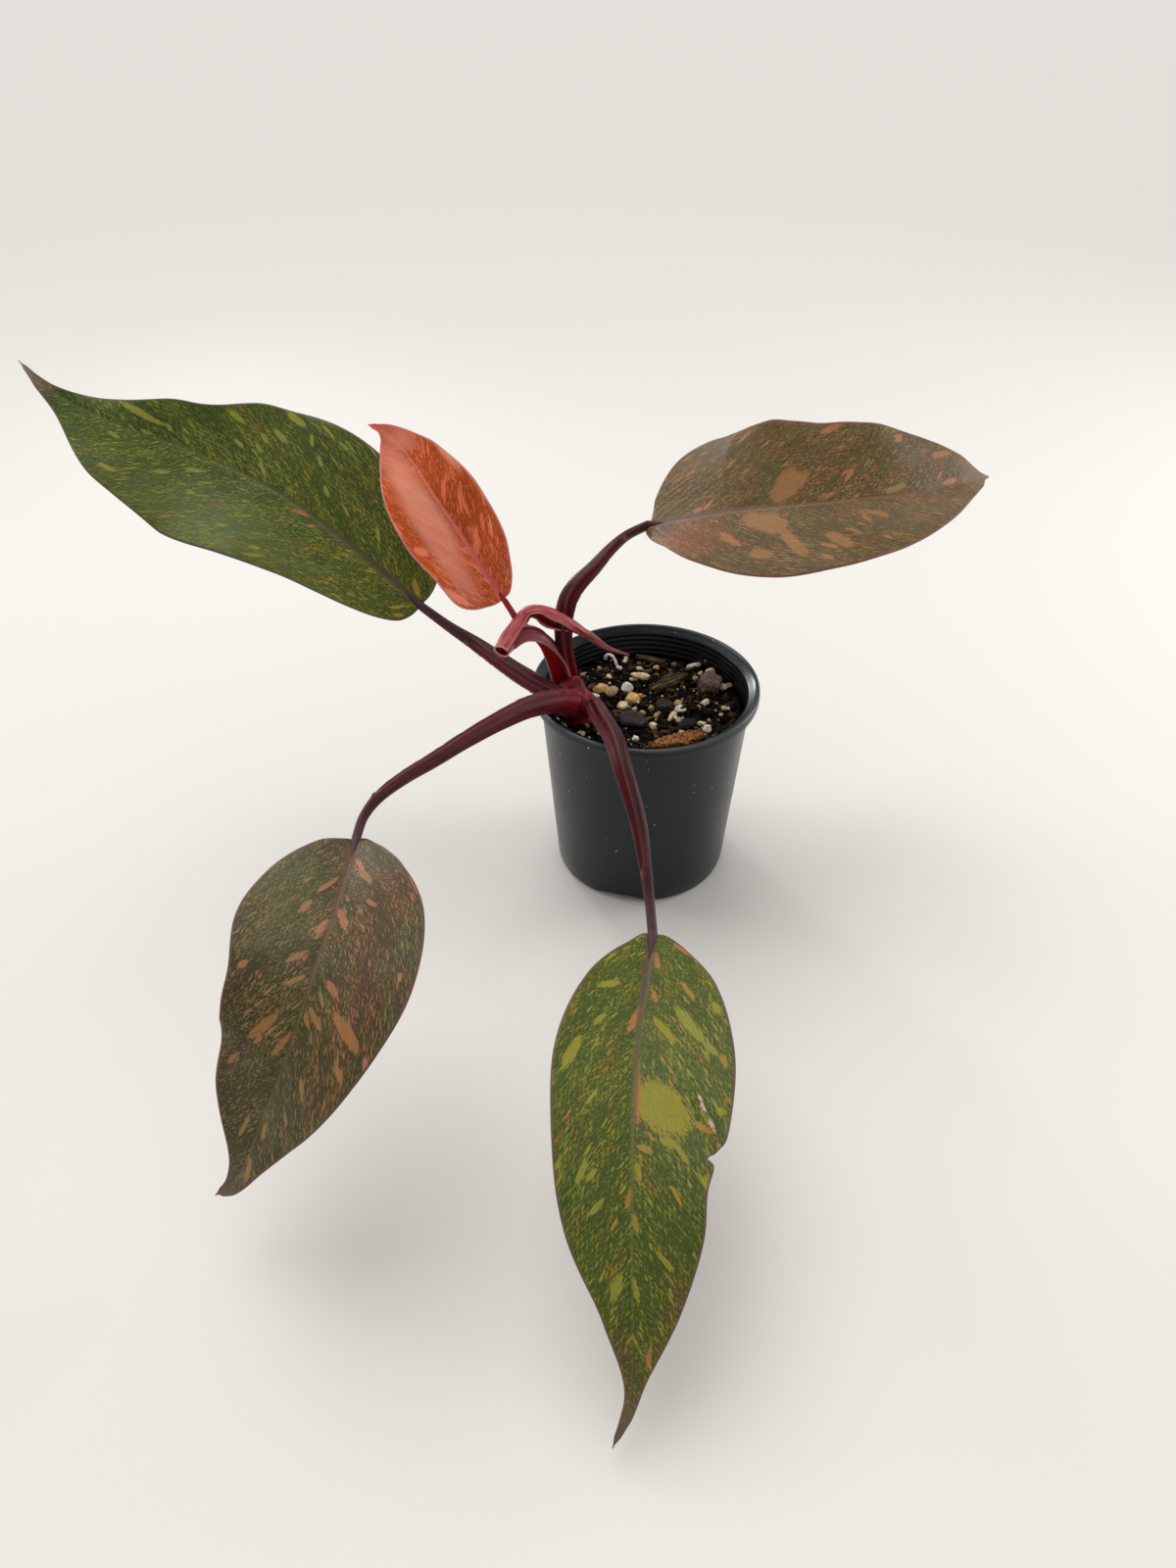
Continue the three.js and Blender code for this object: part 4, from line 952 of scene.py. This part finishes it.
def blade_mesh(blade):
    """A blade's upper skin, with its patches and its zones of tone and of painted sheen marked on it.
    """
    middle = [Vector(p) for p in blade["mid"]]
    look = blade["look"]
    height, waves, phase_left, phase_right = blade["wave"]
    rows, columns = BLADE_ROWS, BLADE_COLUMNS
    frames = {}
    reached = 0.0
    last = middle[0]
    for i in range(rows + 1):
        s = i / rows
        t = (1 - math.cos(math.pi * s)) / 2
        centre = smooth_value(middle, t)
        reached += (centre - last).length
        last = centre
        thin = 1 - 0.75 * ease(0.955, 1, t)
        halves = [max(0.4, smooth_value(blade[side], s)) * thin for side in ("left", "right")]
        frames[i] = (t, centre, *directions(middle, t, *blade["face"]), halves, reached)

    def place(i, j):
        t, centre, along, face, side, halves, way = frames[i]
        w = 2 * j / columns - 1
        out = abs(w) ** 1.25
        right = w > 0
        half = halves[right]
        for at, reach, change in blade.get("margin_" + ("right" if right else "left"), ()):
            half += change * math.exp(-(((way - at) / reach) ** 2))
        half *= out
        lift = math.radians(blade["fold"][0] * (1 - t) + blade["fold"][1] * t)
        phase = phase_right if right else phase_left
        ripple = height * math.sin(math.pi * t) * out * out
        ripple *= math.sin(2 * math.pi * (waves * t + phase))
        frill = 0.18 * math.sin(math.pi * t) * out**5
        ripple += frill * math.sin(2 * math.pi * (8.3 * t + 2.7 * phase))
        buckle = noise.noise(Vector((half / 18, way / 22, look["seed"] + right)))
        ripple += 0.35 * buckle * min(1, half / 5)
        back = blade["lobe"] * out * out * min(1, (half / 12) ** 2) * max(0, 1 - t / 0.1)
        along_blade = way - back
        across = half if right else -half
        vein = along_blade - look["slant"] * half * (1 + 0.01 * half)
        pillow = abs(math.sin(math.pi * vein / VEIN_PITCH)) ** 0.6 - 0.6
        rise = 0.4 + 0.11 * pillow * min(1, half / 4) * ease(0, 1, (1 - out) * 5)
        trough = 0.5 * math.exp(-((half / (1.3 - 0.9 * t)) ** 2)) * (1 - t) ** 1.5
        rise -= trough + 0.1 * math.exp(-(half**2))
        rise -= 0.25 * out**10
        field, tone = -1.0, 0.5
        for at, off, length, width, turn, hue in blade["patches"]:
            if abs(at - along_blade) > length or abs(off - across) > length:
                continue
            outward = (across - off) * (1 if off > 0 else -1)
            lengthwise, crosswise = oval(along_blade - at, outward, length, width, turn)
            level = 1 - (abs(lengthwise) ** BLUNT + abs(crosswise) ** BLUNT) ** (1 / BLUNT)
            if level > field:
                field, tone = level, hue
        amounts = {"warm_and_sheen": 0.0, "cast": 0.0, "painted_sheen": 0.0}
        for at, off, length, width, turn, kind, strength in blade["zones"]:
            apart = math.hypot(*oval(along_blade - at, across - off, length, width, turn))
            inside = 1 - ease(0.35, 1.3, apart)
            amounts[kind] = max(amounts[kind], strength * inside)
        for a, b in zip(blade.get("crease", ()), blade.get("crease", ())[1:]):
            a, b, p = Vector(a), Vector(b), Vector((along_blade, across))
            f = min(max((p - a).dot(b - a) / (b - a).length_squared, 0), 1)
            gap = (p - a.lerp(b, f)).length
            rise += 0.9 * math.exp(-((gap / 0.9) ** 2)) - 0.5 * math.exp(-(((gap - 1.9) / 0.8) ** 2))
        point = (
            centre
            + side * math.copysign(half * math.cos(lift), w)
            + face * (half * math.sin(lift) + ripple + rise)
            - along * back
        )
        values = [
            (field, tone, half / max(out, 0.01) * (1 - out), t),
            (amounts["warm_and_sheen"], amounts["cast"], amounts["painted_sheen"], 1),
        ]
        return point, (across, along_blade), values

    mesh = formed(rows, columns, place, marks=("marks", "zones"))
    thick = mesh.verts.layers.deform.verify()
    marks = mesh.verts.layers.float_color["marks"]
    spread = mesh.loops.layers.uv["spread"]
    for vertex in mesh.verts:
        t = vertex[marks][3]
        half = abs(vertex.link_loops[0][spread].uv.x)
        ridge = math.exp(-((half / (1.9 - 1.2 * t)) ** 2)) * (1 - 0.75 * t)
        vertex[thick][0] = (0.26 + 0.74 * ridge) * (1 - 0.6 * ease(0.93, 1, t))
    return mesh, reached


def thicken(made, thickness, offset, rim=1):
    """Gives a sheet its thickness, with the next material on its back and one on its rim."""
    skin = made.modifiers.new("thickness", "SOLIDIFY")
    skin.thickness = thickness * MM
    skin.offset = offset
    skin.material_offset = 1
    skin.material_offset_rim = rim
    return skin


for name, blade in BLADES.items():
    mesh, length = blade_mesh(blade)
    look = blade["look"]
    leaf = put(
        name + "_leaf",
        mesh,
        [
            blade_finish(name + "_leaf_skin", look, length),
            underside_finish(name + "_leaf_underside", look),
            margin_finish(name + "_leaf_edge", look),
        ],
    )
    leaf.vertex_groups.new(name="thickness")
    thicken(leaf, 2.1, -1, rim=2).vertex_group = "thickness"
    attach(leaf, "root")
    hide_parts("leaf_" + name)


# Crown: the short stem, hidden in the mix, and the swollen bases of the leaf stalks that
# clasp one another round it. The fresh skin is glossy, dark red with finer, brighter strands.
crown_finish, tree, shader = new_finish(
    "fresh_red_stem_base", IOR=1.42, Specular_IOR_Level=0.3, Roughness=0.38
)
where = add(tree, "TexCoord").outputs["Object"]
squeezed = add(tree, "VectorMath", (where, (300, 300, 90)), operation="MULTIPLY")
strands = add(tree, "TexNoise", (squeezed, 1.0, 5.0, 0.65))
tone = add(tree, "ValToRGB", strands, [(0.32, "#36040a"), (0.5, "#6e0e18"), (0.7, "#a83038")])
link(tree, tone, shader.inputs["Base Color"])
relief = add(tree, "Bump", {"Strength": 0.15, "Distance": 0.0004, "Height": strands})
link(tree, relief, shader.inputs["Normal"])

CROWN_LUMPS = (  # middle, then the half sizes of each swelling
    ((-30.5, -9, 92), (6.6, 7, 9)),
    ((-27, -13, 94), (5.6, 5, 6)),
    ((-29, -8, 80), (6, 6, 9)),
    ((-28, -17.8, 95), (5.2, 4.6, 5.6)),
    ((-33, -15, 97.5), (5.6, 5.2, 5)),
    ((-31.5, -6.5, 98.6), (5, 4.6, 4.6)),
    ((-34, -7, 97), (4.8, 5, 5)),
)
mesh = bmesh.new()
for at, sizes in CROWN_LUMPS:
    place = Matrix.Translation(Vector(at) * MM) @ Matrix.Diagonal((*(s * MM for s in sizes), 1))
    bmesh.ops.create_uvsphere(mesh, u_segments=32, v_segments=20, radius=1, matrix=place)
crown = put("crown_stem", mesh, [crown_finish])
merge = crown.modifiers.new("merge", "REMESH")
merge.mode = "VOXEL"
merge.voxel_size = 0.6 * MM
relax = crown.modifiers.new("relax", "SMOOTH")
relax.factor = 0.6
relax.iterations = 12
settle(crown)
crown.data.polygons.foreach_set("use_smooth", [True] * len(crown.data.polygons))
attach(crown, "root")
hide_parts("crown")


# Leaf stalks: fleshy petioles, maroon with a waxy sheen. From the crown to about three
# quarters of its length each is a clasping sheath with a red groove between two low wings;
# where the wings end in a small tongue, a bare grey purple stalk carries the blade.
# path, radii along it, where the groove faces at both ends, the sheath's share, the depth of
# the groove, tones from foot to blade and the groove's own. lips: half the groove's width in
# radians; flare: how far its edges stand out at the foot.
STALKS = {
    "front": dict(
        path=((-23.5, -16.5, 97), (-20, -37, 103.5), (-15, -53.5, 105), (-12, -67, 102.5),
              (-8.5, -77, 95), (-5.5, -86, 87), (-3.5, -97, 78), (-2, -106.5, 69), (-1, -119, 62.4)),
        radii=(4, 4.4, 4.3, 4.1, 3.7, 3.3, 2.6, 2.1, 2),
        groove=((-0.7, -0.2, 0.7), (-0.75, -0.45, 0.5)), sheath=0.79, depth=0.5,
        tones=("#480812", "#280a10", "#2a1014", "#32191d", "#3f3034"), hollow="#5a030c",
    ),
    "low_left": dict(
        path=((-28.6, -18.6, 96.2), (-37.6, -22.8, 101.6), (-49, -34.5, 107), (-60.5, -48.5, 110.2),
              (-72.5, -63, 111.7), (-83.5, -76, 112), (-94.5, -86.5, 111), (-103, -94, 108),
              (-108, -100.5, 104), (-110, -108, 100.3)),
        radii=(5.4, 5.2, 4.7, 4.1, 3.5, 3.1, 2.7, 2.3, 1.9, 1.8),
        groove=((-0.3, 0.35, 0.9), (-0.35, 0.25, 0.9)), sheath=0.78, depth=0.5, flare=0.3,
        tones=("#84101c", "#4a0f18", "#3a141a", "#391a1c", "#403034"), hollow="#66040f",
    ),
    "right": dict(
        path=((-32.5, -1.5, 98), (-35, -0.5, 109), (-36, 0, 120), (-35.5, 1, 129.5), (-33.5, 2, 137),
              (-29.5, 5, 142), (-23, 12, 145.5), (-16, 23.5, 148), (-8.5, 33, 150), (1.2, 43, 150)),
        radii=(3.6, 3.7, 3.9, 4.1, 4.2, 3.9, 3.3, 2.7, 2.3, 2.1),
        groove=((0.6, -0.7, 0.2), (0.4, -0.8, 0.5)), sheath=0.85, depth=0.5,
        tones=("#74141f", "#3c0c15", "#360d14", "#3a1219", "#3c2429"), hollow="#62040f",
    ),
    "new": dict(
        path=((-34, -2.5, 96), (-35.5, -1, 102), (-37.5, -0.5, 109), (-40.5, -1, 116),
              (-44.5, -2.8, 121.5), (-49.5, -5.5, 126.3), (-53.8, -9.5, 131.5),
              (-56.3, -10.3, 137), (-59.4, -7.7, 141.1)),
        radii=(1.6, 1.6, 1.7, 1.7, 1.7, 1.7, 1.6, 1.4, 1.3),
        groove=((-0.55, -0.65, -0.5), (0.3, -0.7, 0.6)), sheath=0.2, depth=0.1,
        tones=("#5c0f1a", "#561d26", "#5d1c28", "#84142a", "#8c1a2e"), hollow="#6a020c",
    ),
    "far_left": dict(
        path=((-34.5, -12, 95), (-44, -12.5, 101), (-53.5, -8.5, 105), (-64, -2, 109), (-74.5, 5, 113),
              (-85, 7.5, 119.5), (-96.2, 10.2, 127.6)),
        radii=(4.3, 4.6, 4.5, 4.0, 3.3, 2.4, 2),
        groove=((-0.1, -0.85, -0.3), (-0.1, -0.8, -0.1)), sheath=0.7, depth=0.5,
        tones=("#4a0f18", "#3c1319", "#3a171c", "#3c1f24", "#352b30"), hollow="#6c0f10", lips=0.6,
    ),
}
STALK_ROWS, STALK_SIDES, STALK_TAIL = 170, 44, 12


def stalk_finish(name, tones, hollow, sheath):
    """Living petiole skin: thin wax over red sap, fine strands along it, a wet red groove."""
    material, tree, shader = new_finish(name, IOR=1.42, Specular_IOR_Level=0.22)
    spread = add(tree, "UVMap", uv_map="spread")
    split = add(tree, "SeparateXYZ", spread)
    parts = add(tree, "SeparateColor", add(tree, "Attribute", attribute_name="stalk_marks"))
    places = (0.02, 0.2, sheath * 0.8, sheath, 0.98)
    base = add(tree, "ValToRGB", split.outputs["Y"], zip(places, tones))
    strands_at = add(tree, "VectorMath", (spread, (46, 5, 1)), operation="MULTIPLY")
    strands = add(tree, "TexNoise", (strands_at, 1.0, 3.0, 0.6))
    dashes_at = add(tree, "VectorMath", (spread, (60, 26, 1)), operation="MULTIPLY")
    dashes = add(tree, "TexNoise", (dashes_at, 1.0))
    light = add(tree, "MapRange", (strands, 0.46, 0.68, 0, 0.5))
    streaked = add(tree, "Mix", (light, base, "#7c3c44"), data_type="RGBA")
    dark = add(tree, "MapRange", (dashes, 0.55, 0.72, 0, 0.6))
    shaded = add(tree, "Mix", (dark, streaked, "#2b1015"), data_type="RGBA")
    in_groove = add(tree, "Mix", (parts.outputs["Red"], shaded, hollow), data_type="RGBA")
    on_wing = add(tree, "Mix", (parts.outputs["Green"], in_groove, "#8a4c50"), data_type="RGBA")
    link(tree, on_wing, shader.inputs["Base Color"])
    wax = add(tree, "MapRange", (dashes, 0.35, 0.7, 0.34, 0.5))
    link(tree, wax, shader.inputs["Roughness"])
    ridges = add(tree, "Bump", {"Strength": 0.35, "Distance": 0.0003, "Height": strands})
    link(tree, ridges, shader.inputs["Normal"])
    return material


def stalk_mesh(stalk, blade):
    """The petiole, from inside the crown to a short way under its blade."""
    path = [Vector(p) for p in stalk["path"]]
    middle = [Vector(p) for p in blade["mid"]]
    rows = STALK_ROWS + STALK_TAIL
    frames = {}
    blade_along, blade_face, _ = directions(middle, 0.0, *blade["face"])

    def frame_at(i):
        if i not in frames:
            t = min(i / STALK_ROWS, 1)
            share = max(0, i - STALK_ROWS) / STALK_TAIL
            lean = 0.5 * ease(0.92, 1, t) + 0.5 * ease(0, 0.7, share)
            _, face, side = directions(path, t, *stalk["groove"], blade_along, lean)
            centre = smooth_value(path, t)
            if share:
                centre += smooth_value(middle, 0.045 * share) - middle[0] - blade_face * 1.4 * share
            frames[i] = (t, centre, face, side)
        return frames[i]

    def place(i, j):
        t, centre, face, side = frame_at(i)
        tail = max(0, i - STALK_ROWS) / STALK_TAIL
        turn = 2 * math.pi * j / STALK_SIDES
        away = min(turn, 2 * math.pi - turn)
        held = 1 - ease(stalk["sheath"] - 0.05, stalk["sheath"], t)
        lips = stalk.get("lips", 0.34)
        hollow = math.exp(-((away / lips) ** 2))
        frayed = 1 + 0.6 * noise.noise(Vector((1, 2, 40 * t)))
        wing = math.exp(-(((away - 1.9 * lips) / 0.15) ** 2)) * frayed
        tongue = math.exp(-(((t - stalk["sheath"] - 0.004) / 0.012) ** 2))
        tongue *= math.exp(-((away / 0.45) ** 2))
        domed = math.sqrt(max(0.04, 1 - max(0, 1 - t / 0.05) ** 2))
        radius = smooth_value(stalk["radii"], t) * (1 - 0.55 * tail) * domed
        knobs = 0.02 * noise.noise(Vector((4 * math.cos(turn), 4 * math.sin(turn), 14 * t)))
        flare = 0.12 + stalk.get("flare", 0) * (1 - ease(0.03, 0.32, t))
        shape = 0.95 + knobs - held * stalk["depth"] * hollow + flare * held * wing
        shape += 0.3 * tongue - 0.05 * (1 - held) * hollow
        reach = radius * shape
        point = centre + face * reach * math.cos(turn) + side * reach * math.sin(turn)
        groove_mark = held * math.exp(-((away / (lips * 0.85)) ** 4))
        wing_mark = 0.55 * held * math.exp(-(((away - 1.9 * lips) / 0.07) ** 2)) + 0.6 * tongue
        return point, (j / STALK_SIDES, t + 0.03 * tail), [(groove_mark, min(1, wing_mark), t, 1)]

    return formed(rows, STALK_SIDES, place, closed=True, marks=["stalk_marks"])


for name, stalk in STALKS.items():
    finish = stalk_finish(name + "_stalk_skin", stalk["tones"], stalk["hollow"], stalk["sheath"])
    stem = put(name + "_stalk", stalk_mesh(stalk, BLADES[name]), [finish])
    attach(stem, "root")
    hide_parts("stalk_" + name)


# The newest leaf's own sheath: a broad open channel of thick red skin that still clasps its
# thin stalk, dull rose outside, wet dark red inside, with a pale edge on each side.
CHANNEL_PATH = (
    (-34, -6, 94), (-36.6, -6, 100), (-39, -6.5, 108), (-43.4, -8, 117.5), (-48.5, -10.5, 124.5),
    (-54, -14.5, 126.5), (-58, -19, 125), (-59.7, -22.5, 125.5),
)
CHANNEL_RADII = (3.0, 3.1, 3.3, 3.7, 4.6, 4.4, 3.0, 2.3)
CHANNEL_SPAN = (2.1, 1.6, 1.35, 1.4, 1.5, 1.5, 1.6, 1.9)
CHANNEL_OPENS = (
    (-0.05, -0.95, 0.3), (-0.1, -0.95, 0.25), (-0.3, -0.9, 0.1), (-0.6, -0.7, -0.3), (-0.4, -0.4, -0.8),
    (0, -0.25, -0.95), (0.4, -0.1, -0.9), (0.5, -0.1, -0.8),
)
CHANNEL_ROWS, CHANNEL_COLUMNS = 140, 44
channel_opens = [Vector(f).normalized() for f in CHANNEL_OPENS]
channel_path = [Vector(p) for p in CHANNEL_PATH]


def channel_place(i, j):
    t, u = i / CHANNEL_ROWS, 2 * j / CHANNEL_COLUMNS - 1
    opening = smooth_value(channel_opens, t)
    _, face, side = directions(channel_path, t, opening, opening)
    turn = smooth_value(CHANNEL_SPAN, t) * u
    reach = smooth_value(CHANNEL_RADII, t) * (1 + 0.05 * noise.noise(Vector((2 * u, 6 * t, 5))))
    reach += 0.5 * ease(0.8, 1, abs(u))
    point = smooth_value(channel_path, t)
    point = point - face * reach * math.cos(turn) + side * reach * math.sin(turn)
    return point, (u, t), [(abs(u), 0.5, 0.5, t)]


def channel_finish(name, tones, edge):
    """Fresh sheath skin: fine strands along it and a thin pale edge."""
    material, tree, shader = new_finish(name, Roughness=0.33, IOR=1.42, Specular_IOR_Level=0.4)
    spread = add(tree, "UVMap", uv_map="spread")
    mark = add(tree, "SeparateColor", add(tree, "Attribute", attribute_name="sheath_marks"))
    strands_at = add(tree, "VectorMath", (spread, (13, 2.5, 1)), operation="MULTIPLY")
    strands = add(tree, "TexNoise", (strands_at, 1.0, 5.0, 0.65))
    tone = add(tree, "ValToRGB", strands, zip((0.32, 0.5, 0.7), tones))
    rim = add(tree, "MapRange", (mark.outputs["Red"], 0.93, 0.99))
    edged = add(tree, "Mix", (rim, tone, edge), data_type="RGBA")
    link(tree, edged, shader.inputs["Base Color"])
    relief = add(tree, "Bump", {"Strength": 0.35, "Distance": 0.0003, "Height": strands})
    link(tree, relief, shader.inputs["Normal"])
    return material


inside = channel_finish("wet_red_sheath_inside", ("#5c0005", "#8c0710", "#a8202a"), "#96686c")
outside = channel_finish("rose_sheath_outside", ("#4e0b14", "#6c1c27", "#8a3c46"), "#96686c")
mesh = formed(CHANNEL_ROWS, CHANNEL_COLUMNS, channel_place, marks=["sheath_marks"])
channel = put("new_leaf_sheath", mesh, [inside, outside])
thicken(channel, 0.9, -1)
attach(channel, "root")
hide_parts("stalk_new")


# Old leaf sheath: the papery red bract that the newest leaf was wrapped in. It has withered
# from the tip, rolled in on itself and arches over the new stalk down to the mix.
# Middle line, radius of the roll, how far round it goes, and where its hollow faces.
SHEATH_MIDDLE = (
    (-60.6, -24, 127), (-58.3, -18.5, 129.3), (-55, -14, 132.5), (-52.4, -11, 134.8),
    (-49.6, -9, 136.4), (-45.4, -7.5, 135.6), (-41.2, -6, 132), (-36.8, -4, 128.8),
    (-31.7, 0, 124.2), (-28.5, 3, 120.4),
    (-25, 7, 115.6), (-22.3, 10, 111.4), (-16.6, 17, 102.4), (-7, 26.5, 92.7),
)
SHEATH_RADII = (3.1, 3.1, 2.9, 2.6, 2.5, 3.0, 4.1, 3.7, 2.3, 1.8, 1.6, 1.5, 1.1, 0.6)
SHEATH_CURLS = (2.95, 2.95, 2.85, 2.6, 2.3, 2.25, 2.2, 2.3, 2.6, 2.7, 2.6, 2.4, 2, 1.6)
SHEATH_FACES = (
    (0.8, -0.5, 0.1), (0.8, -0.5, -0.1), (0.7, -0.6, -0.3), (0.4, -0.7, -0.6), (0, -0.85, -0.6),
    (-0.3, -0.95, -0.4), (-0.4, -0.95, -0.25), (-0.4, -0.95, -0.25), (-0.3, -0.9, -0.5),
    (-0.3, -0.8, -0.6), (-0.3, -0.7, -0.7), (-0.3, -0.6, -0.8), (-0.3, -0.6, -0.7), (-0.3, -0.6, -0.7),
)
SHEATH_ROWS, SHEATH_COLUMNS = 200, 40

sheath_middle = [Vector(p) for p in SHEATH_MIDDLE]
sheath_faces = [Vector(f).normalized() for f in SHEATH_FACES]


def sheath_place(i, j):
    t, u = i / SHEATH_ROWS, 2 * j / SHEATH_COLUMNS - 1
    hollow = smooth_value(sheath_faces, t)
    _, face, side = directions(sheath_middle, t, hollow, hollow)
    turn = smooth_value(SHEATH_CURLS, t) * u
    crumple = noise.noise(Vector((2.5 * u, 15 * t, 2)))
    creases = noise.noise(Vector((8 * u, 5 * t, 8)))
    reach = smooth_value(SHEATH_RADII, t) * (1 + 0.08 * crumple) + 0.2 * creases
    turn *= 1 + 0.07 * noise.noise(Vector((5, 14 * t, 1 if u > 0 else 4)))
    point = smooth_value(sheath_middle, t)
    point = point + side * reach * math.sin(turn) - face * reach * math.cos(turn)
    torn_end = 1 - ease(0.004, 0.02, t)
    return point, (u, t), [(max(abs(u), torn_end), crumple * 0.5 + 0.5, creases * 0.5 + 0.5, t)]


def sheath_finish(name, tones, lip, rough):
    """Withering bract: salmon and rose streaks along it, a pale lip and a brown dry tip."""
    material, tree, shader = new_finish(name, Roughness=rough)
    spread = add(tree, "UVMap", uv_map="spread")
    mark = add(tree, "SeparateColor", add(tree, "Attribute", attribute_name="sheath_marks"))
    streaks_at = add(tree, "VectorMath", (spread, (7, 5, 1)), operation="MULTIPLY")
    streaks = add(tree, "TexNoise", (streaks_at, 1.0, 6.0, 0.7))
    tone = add(tree, "ValToRGB", streaks, zip((0.36, 0.5, 0.64), tones))
    edge = add(tree, "MapRange", (mark.outputs["Red"], 0.9, 0.98))
    lipped = add(tree, "Mix", (edge, tone, lip), data_type="RGBA")
    split = add(tree, "SeparateXYZ", spread)
    along = add(tree, "Math", (streaks, 0.16, split.outputs["Y"]), operation="MULTIPLY_ADD")
    stops = [(0.83, "#000000"), (0.84, "#ffffff"), (0.865, "#f3f3f3"), (0.88, "#000000")]
    torn = add(tree, "ValToRGB", along, stops)
    spotted = add(tree, "Mix", (torn, lipped, "#5e463c"), data_type="RGBA")
    dry = add(tree, "MapRange", (along, 1.0, 1.08))
    dried = add(tree, "Mix", (dry, spotted, "#7c4a3c"), data_type="RGBA")
    link(tree, dried, shader.inputs["Base Color"])
    wrinkles = add(tree, "Bump", {"Strength": 0.6, "Distance": 0.0006, "Height": streaks})
    link(tree, wrinkles, shader.inputs["Normal"])
    return material


outside = sheath_finish("rose_bract_outside", ("#6e0812", "#a02c36", "#c86c68"), "#c07c7a", 0.42)
inside = sheath_finish("dark_red_bract_inside", ("#5c0206", "#860810", "#a0242c"), "#c98c88", 0.35)
mesh = formed(SHEATH_ROWS, SHEATH_COLUMNS, sheath_place, marks=["sheath_marks"])
bract = put("old_leaf_sheath_wrap", mesh, [inside, outside])
thicken(bract, 0.6, 0)
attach(bract, "root")
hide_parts("old_leaf_sheath")


# Root tip: a bare white aerial root that has come up through the mix and bent down again.
ROOT_PATH = (
    (-17.2, 36.8, 84.4), (-16.9, 36.9, 85.9), (-15.4, 37, 86.6), (-13.4, 35.4, 85.9), (-12, 33.2, 83.4),
    (-11.2, 31.6, 81),
)
ROOT_ROWS, ROOT_SIDES = 48, 16
root_path = [Vector(p) for p in ROOT_PATH]
root_finish, tree, shader = new_finish("white_root_skin", Roughness=0.55)
where = add(tree, "TexCoord").outputs["Object"]
soiled = add(tree, "TexNoise", (where, 900.0, 4.0))
tone = add(tree, "ValToRGB", soiled, [(0.36, "#8a7a66"), (0.46, "#d8cfc4"), (0.7, "#ece6de")])
link(tree, tone, shader.inputs["Base Color"])


def root_place(i, j):
    t, turn = i / ROOT_ROWS, 2 * math.pi * j / ROOT_SIDES
    _, face, side = directions(root_path, t, (0, -1, 0.3), (0, -1, 0.3))
    knobs = noise.noise(Vector((math.cos(turn), math.sin(turn), 12 * t)))
    radius = 0.85 * (1 - 0.25 * t) + 0.08 * knobs
    point = smooth_value(root_path, t) + (face * math.cos(turn) + side * math.sin(turn)) * radius
    return point, (j / ROOT_SIDES, t), ()


mesh = formed(ROOT_ROWS, ROOT_SIDES, root_place, closed=True)
root = put("white_root_tip", mesh, [root_finish])
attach(root, "root")
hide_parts("root_tip")
